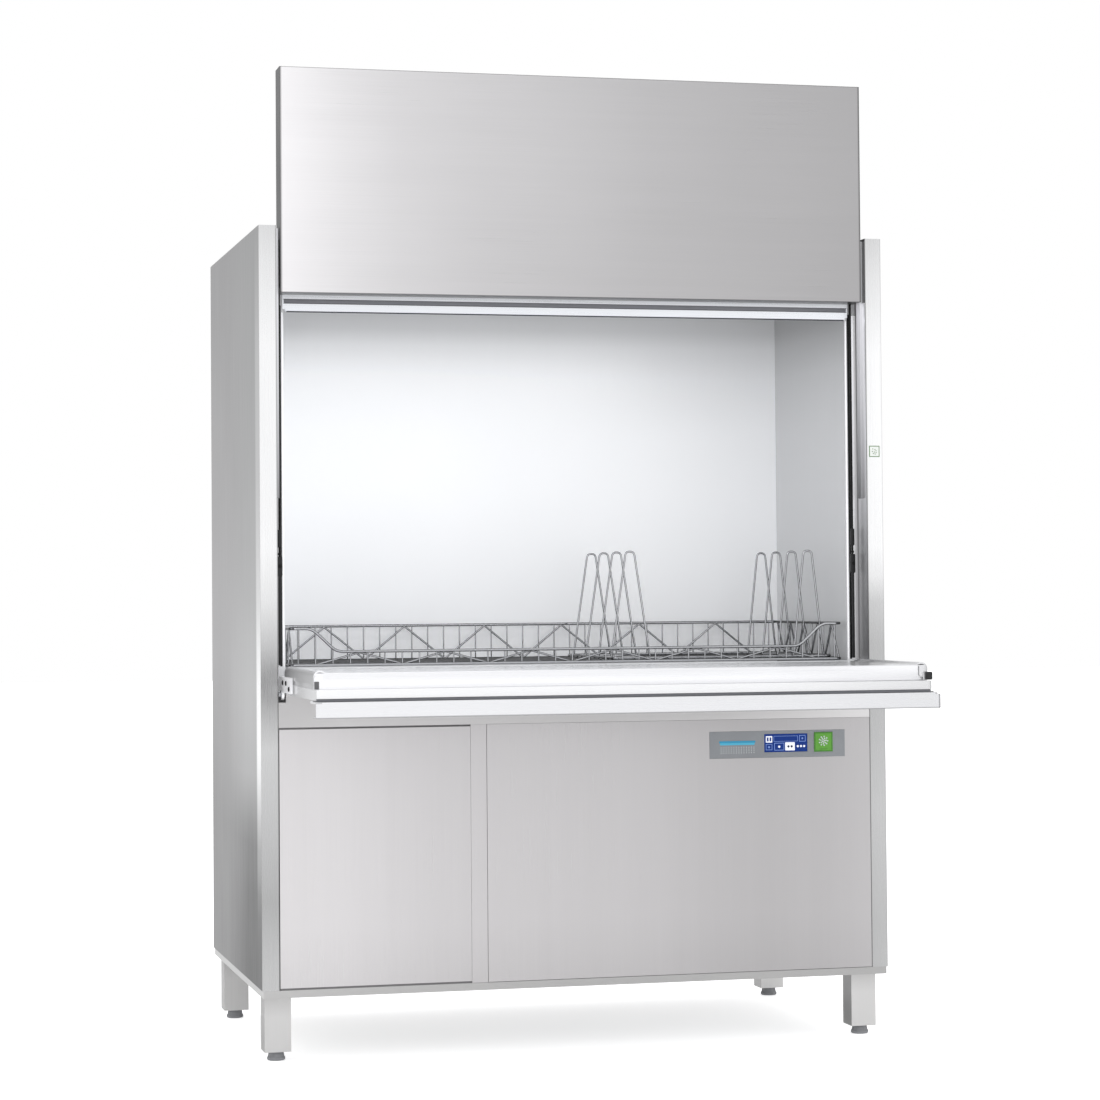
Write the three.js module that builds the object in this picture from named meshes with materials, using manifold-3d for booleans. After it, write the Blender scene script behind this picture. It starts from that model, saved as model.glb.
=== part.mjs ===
// Front-loading utensil washer: stainless cabinet on four legs, a split door made of a
// raised sliding upper door and an open fold-down lower flap, a wire rack in the chamber,
// wash arms above and below the rack, and the tank, pumps and boiler.
// Millimetres, +Z up, +Y into the machine, -X left. The origin is on the floor at the middle
// of the overall width and depth. Part coordinates have y = 0 at the cabinet's front plane.
import * as THREE from 'three';
import { mergeVertices } from 'three/addons/utils/BufferGeometryUtils.js';
import Module from 'manifold-3d';

// Cabinet
const HALF_WIDTH = 736;
const DEPTH = 855; // front plane to rear face
const PANEL_BOTTOM = 165;
const CABINET_TOP = 1873;
const SHEET = 2; // sheet-metal thickness
const PAN_WALL = 1.5; // thinner sheet of the doors and front panels
const GAP = 0.3; // clearance between neighbouring solids
const COLUMN_WIDTH = 39;
const COLUMN_INNER = HALF_WIDTH - COLUMN_WIDTH;
const FRONT_HALF = COLUMN_INNER - GAP; // half of the width between the columns
const REAR_FLANGE = 36;
const FRAME_BOTTOM = 148;
const OPEN_TOP = 1685; // lower edge of the lintel
const RAIL_BOTTOM = 748.8;
const RAIL_TOP = 822.5;

// Doors
const HANDLE_REACH = 475; // open flap's handle, measured out from the front plane
const DOOR_HALF = 687;
const DOOR_BOTTOM = 1723;
const DOOR_HEIGHT = 508;
const DOOR_THICK = 60;
const FLAP_HALF = 682;
const FLAP_LENGTH = 410;
const HINGE_Z = 823; // flap hinge axis runs along X at y = 0
const SILL_Z = 880; // chamber sill and open flap's upper face

// Wash chamber and arms
const CHAMBER_HALF = 670;
const CHAMBER_BACK = 600;
const CHAMBER_FLOOR = 828;
const CHAMBER_CEILING = 1760;
const FLANGE_Y = 73; // front flange of the chamber
const ARM_RADIUS = 250; // wash arm, centre to tip
const ARM_X = 335; // wash arm centres
const ARM_Y = 335;

// Rack
const RACK_HALF = 660;
const RACK_FRONT = 75;
const RACK_BACK = RACK_FRONT + 510;
const RACK_BOTTOM = 882;
const RACK_TOP = 972;
const RACK_LOW = 919; // top of the low front rail
const WIRE = 6;
const WIRE_PITCH = 126; // front to back

// Materials
const metal = ({ color, roughness = 0.35 }) => (
  new THREE.MeshStandardMaterial({ color, roughness, metalness: 1 }));
const plain = ({ color, roughness = 0.6 }) => (
  new THREE.MeshStandardMaterial({ color, roughness, metalness: 0 }));
const steel = metal({ color: 0xd4d3d2 });
const steelBright = metal({ color: 0xe8e9eb, roughness: 0.28 });
const steelDark = metal({ color: 0xa6a6a8, roughness: 0.4 });
const wireSteel = metal({ color: 0xdedfe1, roughness: 0.18 });
const cast = metal({ color: 0x7f8387, roughness: 0.55 });
const rubber = plain({ color: 0x3a3b3d, roughness: 0.8 });
const black = plain({ color: 0x17181a, roughness: 0.5 });
const greyTrim = plain({ color: 0x9a9da0, roughness: 0.45 });
const displayBlue = plain({ color: 0x24499b, roughness: 0.25 });
const green = plain({ color: 0x6ab43e, roughness: 0.35 });
const paintBlue = plain({ color: 0x3d556b, roughness: 0.5 });
const white = plain({ color: 0xe6e6e2, roughness: 0.5 });

// Spans are [low, high] pairs; a mirrored x span may run either way.
const across = (half) => [-half, half];
const about = (centre, half) => [centre - half, centre + half];
const from = (start, size) => [start, start + size];
const inset = ([low, high], margin) => [low + margin, high - margin];
const rect = ([x0, x1], [y0, y1]) => [[x0, y0], [x1, y0], [x1, y1], [x0, y1]];
const mirrored = (points, sign) => points.map(([x, y]) => [sign * x, y]);
const bothSides = (make) => [-1, 1].map(make);
const SIDES = [['left', -1], ['right', 1]];

// Shapes
const box = ([x0, x1], [y0, y1], [z0, z1]) => (
  new THREE.BoxGeometry(Math.abs(x1 - x0), y1 - y0, z1 - z0)
    .translate((x0 + x1) / 2, (y0 + y1) / 2, (z0 + z1) / 2));
const vectors = (points) => points.map(([x, y]) => new THREE.Vector2(x, y));

// Section in (x, y), swept along Z
function prismZ(outline, [z0, z1], holes = []) {
  const shape = new THREE.Shape(vectors(outline));
  shape.holes = holes.map((hole) => new THREE.Path(vectors(hole)));
  return new THREE.ExtrudeGeometry(shape, { depth: z1 - z0, bevelEnabled: false })
    .translate(0, 0, z0);
}

const AXIS_X = new THREE.Vector3(1, 0, 0);
const AXIS_Y = new THREE.Vector3(0, 1, 0);
const AXIS_Z = new THREE.Vector3(0, 0, 1);
const turned = (geometry, ...axes) => (
  geometry.applyMatrix4(new THREE.Matrix4().makeBasis(...axes)));

// Section in (y, z), swept along X
const prismX = (outline, [x0, x1]) => (
  turned(prismZ(outline, [0, Math.abs(x1 - x0)]), AXIS_Y, AXIS_Z, AXIS_X)
    .translate(Math.min(x0, x1), 0, 0));
// Section in (x, z), swept along Y
const prismY = (outline, [y0, y1], holes) => (
  turned(prismZ(outline, [0, y1 - y0], holes), AXIS_X, AXIS_Z, AXIS_Y.clone().negate())
    .translate(0, y1, 0));

// Round rod between two points
function rod(start, end, radius, sides = 12) {
  const first = new THREE.Vector3(...start);
  const last = new THREE.Vector3(...end);
  const direction = last.clone().sub(first).normalize();
  const middle = first.clone().add(last).divideScalar(2);
  return new THREE.CylinderGeometry(radius, radius, first.distanceTo(last), sides)
    .applyQuaternion(new THREE.Quaternion().setFromUnitVectors(AXIS_Y, direction))
    .translate(middle.x, middle.y, middle.z);
}
const post = (x, y, [z0, z1], radius, sides) => rod([x, y, z0], [x, y, z1], radius, sides);
// One post on each wash arm axis
const armPosts = (span, radius) => bothSides((sign) => post(sign * ARM_X, ARM_Y, span, radius));

// Solids
const wasm = await Module();
wasm.setup();

function solidOf(shape) {
  if (!shape.isBufferGeometry) return shape;
  const bare = shape.clone();
  bare.deleteAttribute('normal');
  bare.deleteAttribute('uv');
  const merged = mergeVertices(bare, 1e-4);
  return new wasm.Manifold(new wasm.Mesh({
    numProp: 3,
    vertProperties: new Float32Array(merged.attributes.position.array),
    triVerts: new Uint32Array(merged.index.array),
  }));
}

function geometryOf(shape) {
  if (shape.isBufferGeometry) return shape;
  const mesh = shape.getMesh();
  const geometry = new THREE.BufferGeometry();
  const positions = new Float32Array(mesh.vertProperties);
  geometry.setAttribute('position', new THREE.BufferAttribute(positions, 3));
  geometry.setIndex(new THREE.BufferAttribute(new Uint32Array(mesh.triVerts), 1));
  geometry.computeVertexNormals();
  return geometry;
}

// Both take shapes and lists of shapes.
const join = (...shapes) => shapes.flat().map(solidOf).reduce((sum, part) => sum.add(part));
const cut = (...shapes) => shapes.flat().map(solidOf).reduce((rest, tool) => rest.subtract(tool));

// Sheet pan with its face at y = 0, open at the rear
const pan = (width, depth, height) => cut(
  box(width, [0, depth], height),
  box(inset(width, PAN_WALL), [PAN_WALL, depth + 1], inset(height, PAN_WALL)),
);

const machine = new THREE.Group();
const shell = new THREE.Group();
// Centres the overall depth, from the open handle to the rear face
shell.position.set(0, (HANDLE_REACH - DEPTH) / 2, 0);
machine.add(shell);

function add(name, material, shape) {
  const mesh = new THREE.Mesh(geometryOf(shape), material);
  mesh.name = name;
  shell.add(mesh);
}

// Cabinet skins
const PANEL_SPAN = [PANEL_BOTTOM, CABINET_TOP];
const SKIN_INNER = HALF_WIDTH - SHEET;
const FLANGE_INNER = HALF_WIDTH - REAR_FLANGE;
const COLUMN_DEPTH = 58;
// Outlines of the right-hand parts in (x, y)
const SIDE_OUTLINE = [
  [HALF_WIDTH, SHEET + GAP], [HALF_WIDTH, DEPTH], [FLANGE_INNER, DEPTH],
  [FLANGE_INNER, DEPTH - SHEET], [SKIN_INNER, DEPTH - SHEET], [SKIN_INNER, SHEET + GAP],
];
const COLUMN_OUTLINE = [
  [HALF_WIDTH, 0], [HALF_WIDTH, SHEET], [COLUMN_INNER + SHEET, SHEET],
  [COLUMN_INNER + SHEET, COLUMN_DEPTH], [COLUMN_INNER, COLUMN_DEPTH], [COLUMN_INNER, 0],
];
const GUIDE_OUTLINE = [
  [FRONT_HALF, 18], [FRONT_HALF, 42], [689.4, 42], [689.4, 40],
  [694.8, 40], [694.8, 20], [689.4, 20], [689.4, 18],
];
for (const [side, sign] of SIDES) {
  // Side panel with a folded rear flange
  add(`side_panel_${side}`, steel, prismZ(mirrored(SIDE_OUTLINE, sign), PANEL_SPAN));
  // Face plate and the return that lines the door's path
  add(`front_column_${side}`, steelBright, prismZ(mirrored(COLUMN_OUTLINE, sign), PANEL_SPAN));
  // Guide channel for the sliding door, beside the column's return
  add(`door_guide_${side}`, steelDark, prismZ(mirrored(GUIDE_OUTLINE, sign), [1262, 1868]));
}
add('rear_panel', steel, box(across(FLANGE_INNER - GAP), [DEPTH - SHEET, DEPTH], PANEL_SPAN));

// Roof, notched around the front columns; (x, y)
const ROOF_HALF = SKIN_INNER - GAP;
const ROOF_FRONT = SHEET + GAP;
const ROOF_BACK = DEPTH - SHEET - GAP;
const NOTCH_X = COLUMN_INNER + SHEET + GAP;
const NOTCH_Y = 66;
add('roof_panel', steel, prismZ([
  [-ROOF_HALF, ROOF_FRONT], [-NOTCH_X, ROOF_FRONT], [-NOTCH_X, NOTCH_Y], [NOTCH_X, NOTCH_Y],
  [NOTCH_X, ROOF_FRONT], [ROOF_HALF, ROOF_FRONT], [ROOF_HALF, ROOF_BACK], [-ROOF_HALF, ROOF_BACK],
], [CABINET_TOP - SHEET, CABINET_TOP]));

// Header: skin behind the raised door, and a lintel with a groove and clipped ends
const HEADER_SKIN_Y = [62, 64];
const LINTEL_Y = [60.5, 72];
add('header_panel', steelBright, join(
  box(across(696), HEADER_SKIN_Y, [1776, CABINET_TOP - SHEET - GAP]),
  box(across(674), HEADER_SKIN_Y, [OPEN_TOP + 6, 1780]),
  box(across(674), LINTEL_Y, [1714, 1725]),
  prismY([[-673, 1704], [673, 1704], [666, OPEN_TOP], [-666, OPEN_TOP]], LINTEL_Y),
  box(across(672), [66, 72], [1700, 1718]),
));

// Rail below the flap hinge: face plate with notched upper corners, and a top return
add('upper_rail', steel, join(
  cut(
    box(across(FRONT_HALF), [0, SHEET], [RAIL_BOTTOM, RAIL_TOP]),
    bothSides((sign) => box([sign * 680, sign * 697], [-1, 3], [805, 830])),
  ),
  box(across(678), [1, 40], [RAIL_TOP - SHEET, RAIL_TOP]),
));

// Channel between the two lower front panels, open to the rear; (x, y)
add('mullion', steel, prismZ([
  [-259.2, 1.5], [-222.3, 1.5], [-222.3, 24], [-224.3, 24],
  [-224.3, 3.5], [-257.2, 3.5], [-257.2, 24], [-259.2, 24],
], [PANEL_BOTTOM + GAP, RAIL_BOTTOM - GAP]));
add('base_frame', steel, prismZ(
  rect(across(733.5), [2.3, 852.5]),
  [FRAME_BOTTOM, PANEL_BOTTOM - GAP],
  [rect(across(678), [34, 800])],
));

// Legs and levelling feet
const LEG_SIZE = 60;
const LEG_OUTER = 724;
const FOOT_HEIGHT = 20;
const STUD_RADIUS = 8;
const STUD_TOP = 58;
// Radius, height
const FOOT_PROFILE = [
  [0, 0], [19, 0], [20.5, 3], [20.5, 7], [16, FOOT_HEIGHT],
  [STUD_RADIUS, FOOT_HEIGHT], [STUD_RADIUS, STUD_TOP], [0, STUD_TOP],
];
for (const [row, legFront] of [['front', 53], ['rear', 745]]) {
  for (const [side, sign] of SIDES) {
    const x = sign * (LEG_OUTER - LEG_SIZE / 2);
    const y = legFront + LEG_SIZE / 2;
    add(`leg_${row}_${side}`, steelBright, cut(
      box(about(x, LEG_SIZE / 2), from(legFront, LEG_SIZE), [FOOT_HEIGHT + 1, FRAME_BOTTOM - GAP]),
      post(x, y, [0, 100], STUD_RADIUS + 0.6),
    ));
    const foot = new THREE.LatheGeometry(vectors(FOOT_PROFILE), 16);
    foot.rotateX(Math.PI / 2).translate(x, y, 0);
    add(`foot_${row}_${side}`, rubber, solidOf(foot));
  }
}

// Wash chamber: open-fronted box with an opening in its floor and two holes in its ceiling
const CHAMBER_HEIGHT = [CHAMBER_FLOOR, CHAMBER_CEILING];
const CHAMBER_OUTER_HEIGHT = inset(CHAMBER_HEIGHT, -SHEET);
const LIP_BACK = FLANGE_Y + 1;
const chamberBox = cut(
  box(across(CHAMBER_HALF + SHEET), [FLANGE_Y, CHAMBER_BACK + SHEET], CHAMBER_OUTER_HEIGHT),
  box(across(CHAMBER_HALF), [FLANGE_Y - 5, CHAMBER_BACK], CHAMBER_HEIGHT),
  box(across(570), [130, 540], [800, 840]),
  armPosts([1740, 1800], 15),
);
// Front flange around the opening, with one raised strip on each side, and the low sill
add('wash_chamber', steelBright, join(
  chamberBox,
  prismY(rect(across(FRONT_HALF), CHAMBER_OUTER_HEIGHT), from(FLANGE_Y, SHEET),
    [rect(across(CHAMBER_HALF), [SILL_Z, 1740])]),
  bothSides((sign) => box([sign * 682, sign * 694.6], [70.6, LIP_BACK], [SILL_Z, 1698])),
  prismX([
    [65, 866], [67, 866], [67, SILL_Z - SHEET],
    [LIP_BACK, SILL_Z - SHEET], [LIP_BACK, SILL_Z], [65, SILL_Z],
  ], across(CHAMBER_HALF)),
));

// Angle rails under the rack; right-hand outline in (x, z)
const RAIL_OUTER = CHAMBER_HALF - GAP;
const RACK_RAIL_OUTLINE = [
  [640, 879.5], [640, 881.5], [RAIL_OUTER, 881.5],
  [RAIL_OUTER, 858], [RAIL_OUTER - SHEET, 858], [RAIL_OUTER - SHEET, 879.5],
];
for (const [side, sign] of SIDES) {
  add(`rack_rail_${side}`, steelDark, prismY(mirrored(RACK_RAIL_OUTLINE, sign), [78, 596]));
}

// Tank, open at the top, with its strainer and heater
const TANK_X = across(580);
const TANK_Y = [120, 550];
const TANK_BOTTOM = 600;
const STRAINER_INSET = 2.5;
const DRAIN_X = 150;
const DRAIN_Y = 450;
add('wash_tank', steelDark, cut(
  box(TANK_X, TANK_Y, [TANK_BOTTOM, CHAMBER_FLOOR - SHEET - GAP]),
  box(inset(TANK_X, SHEET), inset(TANK_Y, SHEET), [TANK_BOTTOM + SHEET, 830]),
  armPosts(about(TANK_BOTTOM, 10), 18.6),
  post(DRAIN_X, DRAIN_Y, about(TANK_BOTTOM, 10), 14),
));
add('tank_strainer', steelDark, cut(
  box(inset(TANK_X, STRAINER_INSET), inset(TANK_Y, STRAINER_INSET), [818, 821]),
  [-500, -410, -200, -110, 20, 110, 200, 430, 520].map((x) => (
    [170, 440].map((y) => box([x - 30, x + 20], [y - 25, y + 45], [810, 830])))).flat(),
  armPosts([800, 840], 19),
));
const HEATER_Z = 640;
add('tank_heater', steelDark, join(
  [200, 260].map((y) => rod([-250, y, HEATER_Z], [250, y, HEATER_Z], 6, 8)),
  rod([-250, 196, HEATER_Z], [-250, 264, HEATER_Z], 6, 8),
  box([244, 262], [190, 270], about(HEATER_Z, 15)),
));

// Manifold: lower and upper cross pipes joined by a riser behind the chamber
const LOWER_Z = 570;
const UPPER_Z = 1800;
const RISER_Y = 650;
const OVERRUN = 17; // pipe ends run past the crossing centre line
const BRANCH_RADIUS = 14;
const pipe = (start, end) => rod(start, end, 18);
const crossPipe = (half, z) => pipe([-half, ARM_Y, z], [half, ARM_Y, z]);
add('wash_manifold', steelDark, join(
  armPosts([LOWER_Z, 838], 18),
  crossPipe(ARM_X + OVERRUN, LOWER_Z),
  pipe([0, ARM_Y, LOWER_Z], [0, RISER_Y + OVERRUN, LOWER_Z]),
  pipe([0, RISER_Y, LOWER_Z - OVERRUN], [0, RISER_Y, UPPER_Z + OVERRUN]),
  pipe([0, RISER_Y + OVERRUN, UPPER_Z], [0, ARM_Y, UPPER_Z]),
  crossPipe(ARM_X + BRANCH_RADIUS, UPPER_Z),
  armPosts([1750.5, UPPER_Z], BRANCH_RADIUS),
));

// Pumps
const PUMP_Z = 370;
add('wash_pump_casing', cast, join(
  rod([-150, ARM_Y, PUMP_Z], [-80, ARM_Y, PUMP_Z], 95, 20),
  post(-115, ARM_Y, [380, 551.5], 20),
));
add('wash_pump_motor', paintBlue, join(
  rod([-79.5, ARM_Y, PUMP_Z], [150, ARM_Y, PUMP_Z], 72, 20),
  box([-10, 90], about(ARM_Y, 40), [430, 470]),
));
add('drain_pump', black, join(
  post(DRAIN_X, DRAIN_Y, [240, 330], 42, 16),
  post(DRAIN_X, DRAIN_Y, [320, TANK_BOTTOM - 1.5], 12),
  rod([DRAIN_X, 470, 262], [DRAIN_X, 845, 262], 14),
));

// Boiler, rinse pump, inlet valve and electrical box
const BOILER_X = 430;
const BOILER_Y = 735;
const BOILER_BOTTOM = 700;
const RINSE_PUMP_Y = 720;
add('rinse_boiler', steelDark, cut(
  join(
    post(BOILER_X, BOILER_Y, [BOILER_BOTTOM, 1250], 98, 20),
    post(BOILER_X, BOILER_Y, [1240, 1262], 60, 16),
  ),
  post(BOILER_X, BOILER_Y, [BOILER_BOTTOM - 10, 1245], 95, 20),
));
add('rinse_pump', cast, join(
  post(BOILER_X, RINSE_PUMP_Y, [300, 430], 52, 16),
  post(BOILER_X, RINSE_PUMP_Y, [420, BOILER_BOTTOM - 0.5], 10),
));
add('inlet_valve', white, join(
  box([570, 630], [780, 845], [240, 300]),
  post(600, 810, [290, 360], 16),
));
const ELECTRICAL_X = [250, 660];
const ELECTRICAL_Z = [230, 545];
add('electrical_box', greyTrim, cut(
  box(ELECTRICAL_X, [90, 300], ELECTRICAL_Z),
  box(inset(ELECTRICAL_X, SHEET), [80, 300 - SHEET], inset(ELECTRICAL_Z, SHEET)),
));

// Counterbalance springs beside the chamber, as plain cylinders with thin ends
const SPRING_X = 704;
const SPRING_Y = 760;
for (const [side, sign] of SIDES) {
  add(`balance_spring_${side}`, steelDark, join(
    post(sign * SPRING_X, SPRING_Y, [900, 1500], 17),
    post(sign * SPRING_X, SPRING_Y, [880, 905], 4, 8),
    post(sign * SPRING_X, SPRING_Y, [1495, 1520], 4, 8),
  ));
}

// Upper door
const DOOR_SPAN = from(DOOR_BOTTOM, DOOR_HEIGHT);
const LINER_INSET = PAN_WALL + GAP;
add('upper_door_shell', steel, pan(across(DOOR_HALF), DOOR_THICK, DOOR_SPAN));
add('upper_door_liner', steelBright, box(
  across(DOOR_HALF - LINER_INSET), [56, DOOR_THICK - GAP], inset(DOOR_SPAN, LINER_INSET)));
for (const [side, sign] of SIDES) {
  // Slide block that runs in the guide channel
  add(`door_slider_${side}`, black,
    box([sign * 687.3, sign * 694], [22, 38], [DOOR_BOTTOM + 12, DOOR_BOTTOM + 120]));
  // Link between the door and the flap: bracket, thin rod, clevis and flat bar
  add(`door_link_${side}`, black, join(
    box([sign * 678, sign * 686], [60.3, 69], [1728, 1770]),
    post(sign * 682, 65.5, [1180, 1735], 3, 8),
    box([sign * 676.5, sign * 689], [61.5, 69.5], [1086, 1193]),
    box([sign * 679, sign * 687], [62.5, 68.5], [886, 1090]),
  ));
}

// Lower flap, lying open; the shell is the underside and the liner the upper side
const FLAP_BACK = -5;
const SHELL_TOP = 845.7;
add('flap_shell', steelBright, cut(
  prismX([
    [FLAP_BACK, HINGE_Z], [-430, HINGE_Z], [-430, 827],
    [-440, 827], [-440, SHELL_TOP], [FLAP_BACK, SHELL_TOP],
  ], across(FLAP_HALF)),
  box(across(FLAP_HALF - SHEET), [-404, FLAP_BACK - SHEET], [HINGE_Z + SHEET, 850]),
));
// Rolled lip along each side of the liner, rounded outside; right-hand outline in (x, z)
const LIP_OUTLINE = [
  [662, 879], [662, 883], [664, 886], [672, 886], [680, 882.5],
  [684, 876], [684, 862], [681, 862], [681, 874], [676, 879],
];
const LINER_Y = [-FLAP_LENGTH, FLAP_BACK];
add('flap_liner', steelBright, join(
  cut(
    box(across(680), LINER_Y, [SHELL_TOP + GAP, SILL_Z]),
    box(across(680 - SHEET), inset(LINER_Y, SHEET), [840, SILL_Z - SHEET]),
  ),
  bothSides((sign) => prismY(mirrored(LIP_OUTLINE, sign), [-404, -12])),
));
// Handle outline in (y, z)
const HANDLE_OUTLINE = [
  [-HANDLE_REACH, 821], [-HANDLE_REACH, 787], [-438, 787], [-438, 790], [-471, 790],
  [-471, 817], [-400, 817], [-400, 822.7], [-432, 822.7], [-436, 821],
];
const HANDLE_CLIP = [[690, -476], [676, -476], [690, -455]]; // corner cut-off, (x, y)
add('flap_handle', steelBright, cut(
  prismX(HANDLE_OUTLINE, across(689)),
  bothSides((sign) => prismZ(mirrored(HANDLE_CLIP, sign), [818, 830])),
));

// Hinge arm: flat bar in (y, z) with a half-round eye under the hinge axis
const EYE_RADIUS = 12;
const EYE_STEPS = 8;
const eyePoints = Array.from({ length: EYE_STEPS + 1 }, (_, i) => {
  const angle = Math.PI * (1 + i / EYE_STEPS);
  return [EYE_RADIUS * Math.cos(angle), HINGE_Z + EYE_RADIUS * Math.sin(angle)];
});
const HINGE_ARM_OUTLINE = [
  ...eyePoints, [EYE_RADIUS, 828], [50, 832], [50, 854],
  [40, 863], [-132, 863], [-132, 828], [-EYE_RADIUS, 828],
];
for (const [side, sign] of SIDES) {
  const hingeRod = (inner, outer, radius) => (
    rod([sign * inner, 0, HINGE_Z], [sign * outer, 0, HINGE_Z], radius, 16));
  add(`flap_arm_${side}`, steelDark, cut(
    prismX(HINGE_ARM_OUTLINE, [sign * 685, sign * 690]), hingeRod(680, 695, 5.4)));
  add(`hinge_pin_${side}`, steelDark, hingeRod(684, FRONT_HALF, 5));
}

// Wash arms: flat tapered blade on a round hub
const ARM_FRONT_EDGE = [
  [-ARM_RADIUS, -8], [-ARM_RADIUS + 6, -14], [-40, -18], [0, -24],
  [40, -18], [ARM_RADIUS - 6, -14], [ARM_RADIUS, -8],
];
const ARM_OUTLINE = [...ARM_FRONT_EDGE, ...ARM_FRONT_EDGE.map(([x, y]) => [x, -y]).reverse()];
// Level, blade span and hub span in z
const ARM_LEVELS = [
  ['upper', [1730, 1744], [1724, 1750.1]],
  ['lower', [845, 859], [838.4, 863]],
];
for (const [side, sign] of SIDES) {
  const placed = ARM_OUTLINE.map(([x, y]) => [x + sign * ARM_X, y + ARM_Y]);
  for (const [level, blade, hub] of ARM_LEVELS) {
    add(`${level}_wash_arm_${side}`, steelBright,
      join(prismZ(placed, blade), post(sign * ARM_X, ARM_Y, hub, 20, 16)));
  }
}

// Lower front panels and controls; openings are x and z spans
const PANEL_DEPTH = 25;
const BEZEL_OPENING = [[305, 635], [658.5, 721]];
const DISPLAY_OPENING = [[437.5, 543], [671, 713.5]];
const BUTTON_OPENING = [[559, 605], [670, 716]];
// Box through or within an opening, at a clearance from its edges
const fill = ([width, height], depth, clearance = 0) => (
  box(inset(width, clearance), depth, inset(height, clearance)));
add('service_door', steel, pan([-695.5, -260], PANEL_DEPTH, [169.6, 744.5]));
add('front_panel', steel, cut(
  pan([-221.7, 696.5], PANEL_DEPTH, [166, 748.3]), fill(BEZEL_OPENING, [-1, 5])));
add('control_bezel', greyTrim, cut(
  fill(BEZEL_OPENING, [-0.8, 14], GAP),
  fill(DISPLAY_OPENING, [-2, 6]),
  fill(BUTTON_OPENING, [-2, 12]),
));
add('display', displayBlue, fill(DISPLAY_OPENING, [-0.4, 5.7], GAP));
add('start_button', green, fill(BUTTON_OPENING, [-2, 8.5], 0.4));

// Wire rack; offsets under 1 mm keep the faces of crossing wires from coinciding
const FLOOR_Z = from(RACK_BOTTOM, WIRE);
const RIM_Z = [RACK_TOP - WIRE, RACK_TOP];
const FRONT_WIRE = from(RACK_FRONT, WIRE);
const BACK_WIRE = [RACK_BACK - WIRE, RACK_BACK];
const UPRIGHT_Z = [RACK_BOTTOM + 1, RACK_TOP - 1];
const RACK_INNER = RACK_HALF - WIRE;
const FLOOR_WIRE_X = [-498, -299, -98, 98, 299, 498];
const CROSS_WIRE_Y = [1, 2, 3].map((i) => RACK_FRONT + i * WIRE_PITCH);
const UPRIGHT_Y = [RACK_FRONT + 0.8, ...CROSS_WIRE_Y, RACK_BACK - WIRE - 0.6];
// Slope from the side rim down to the low front rail; right-hand outline in (x, z)
const SLOPE_OUTLINE = [
  [613, RACK_TOP - 1], [613, RACK_TOP - WIRE + 1], [553, RACK_LOW - WIRE + 1],
  [546, RACK_LOW - WIRE + 1], [546, RACK_LOW - 1],
];

const rackFloor = () => [
  ...[FRONT_WIRE, BACK_WIRE].map((span) => box(across(RACK_HALF), span, FLOOR_Z)),
  ...bothSides((sign) => box(
    [sign * RACK_HALF, sign * RACK_INNER], [RACK_FRONT + 0.5, RACK_BACK - 0.5],
    inset(FLOOR_Z, 0.2))),
  ...FLOOR_WIRE_X.map((x) => box(
    about(x, WIRE / 2), [RACK_FRONT + 1, RACK_BACK - 1], inset(FLOOR_Z, 0.5))),
  ...CROSS_WIRE_Y.map((y) => box(across(RACK_HALF - 1), from(y, WIRE), inset(FLOOR_Z, 0.8))),
];
// Side rim, its front corner, the slope and the uprights
const rackSide = (sign) => [
  box([sign * RACK_INNER, sign * RACK_HALF], [RACK_FRONT, RACK_BACK - 0.4], inset(RIM_Z, 0.3)),
  box([sign * 611, sign * (RACK_HALF - 0.6)], [RACK_FRONT + 0.3, RACK_FRONT + WIRE],
    inset(RIM_Z, 0.6)),
  prismY(mirrored(SLOPE_OUTLINE, sign), [RACK_FRONT + 0.6, RACK_FRONT + WIRE - 0.4]),
  ...UPRIGHT_Y.map((y) => box(
    [sign * (RACK_INNER + 0.5), sign * (RACK_HALF - 0.5)], inset(from(y, WIRE), 0.4),
    UPRIGHT_Z)),
];
add('wire_rack', wireSteel, join(
  rackFloor(),
  box(across(RACK_HALF - 0.4), [RACK_BACK - WIRE, RACK_BACK - 0.2], RIM_Z),
  bothSides(rackSide).flat(),
  box(across(550), FRONT_WIRE, [RACK_LOW - WIRE, RACK_LOW]),
  FLOOR_WIRE_X.map((x) => (
    box(about(x, 2.5), inset(FRONT_WIRE, 0.5), [RACK_BOTTOM + 1, RACK_LOW - 1]))),
  [-440, 0, 440].map((x) => (
    box(about(x, 2.5), [RACK_BACK - WIRE + 0.4, RACK_BACK - 0.6], UPRIGHT_Z))),
));

// Tray insert: a light frame on the rack's floor with two rows of tall hoops
const INSERT_WIRE = 5;
function hoop([left, right], y) {
  const middle = (left + right) / 2;
  // The section in (x, z) doubles back on itself across the two legs.
  const outline = [
    [left, 890], [left + INSERT_WIRE, 890], [middle - 8, 1140], [middle + 8, 1140],
    [right - INSERT_WIRE, 890], [right, 890], [middle + 13, 1145], [middle - 13, 1145],
  ];
  return [
    box([left - 2, right + 2], from(y, INSERT_WIRE), [888.8, 893]),
    prismY(outline, [y + 0.5, y + 4.5]),
  ];
}
add('tray_insert', wireSteel, join(
  [110, 545].map((y) => box([104, 646], from(y, INSERT_WIRE), [888.4, 893.4])),
  [104, 641].map((x) => box(from(x, INSERT_WIRE), [111, 549], [888.6, 893.2])),
  [157, 597].map((x) => box(from(x, 6), [111, 549], [888.7, 893.1])),
  [[110, 210], [560, 640]].map((row) => [150, 270, 390, 510].map((y) => hoop(row, y))).flat(2),
));

export default machine;
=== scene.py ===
"""Front-loading utensil washer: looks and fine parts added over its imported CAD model.

The model is in metres: x runs to the right, y from front to back, z up from the floor.
Drawing sizes are in millimetres, with y measured from the cabinet's front plane, so negative y
stands out in front of it. The flap is open, reaching forward. Tones are sRGB levels, 0 to 255.
"""
import math

import bmesh
import bpy
from mathutils import Matrix, Vector

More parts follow.
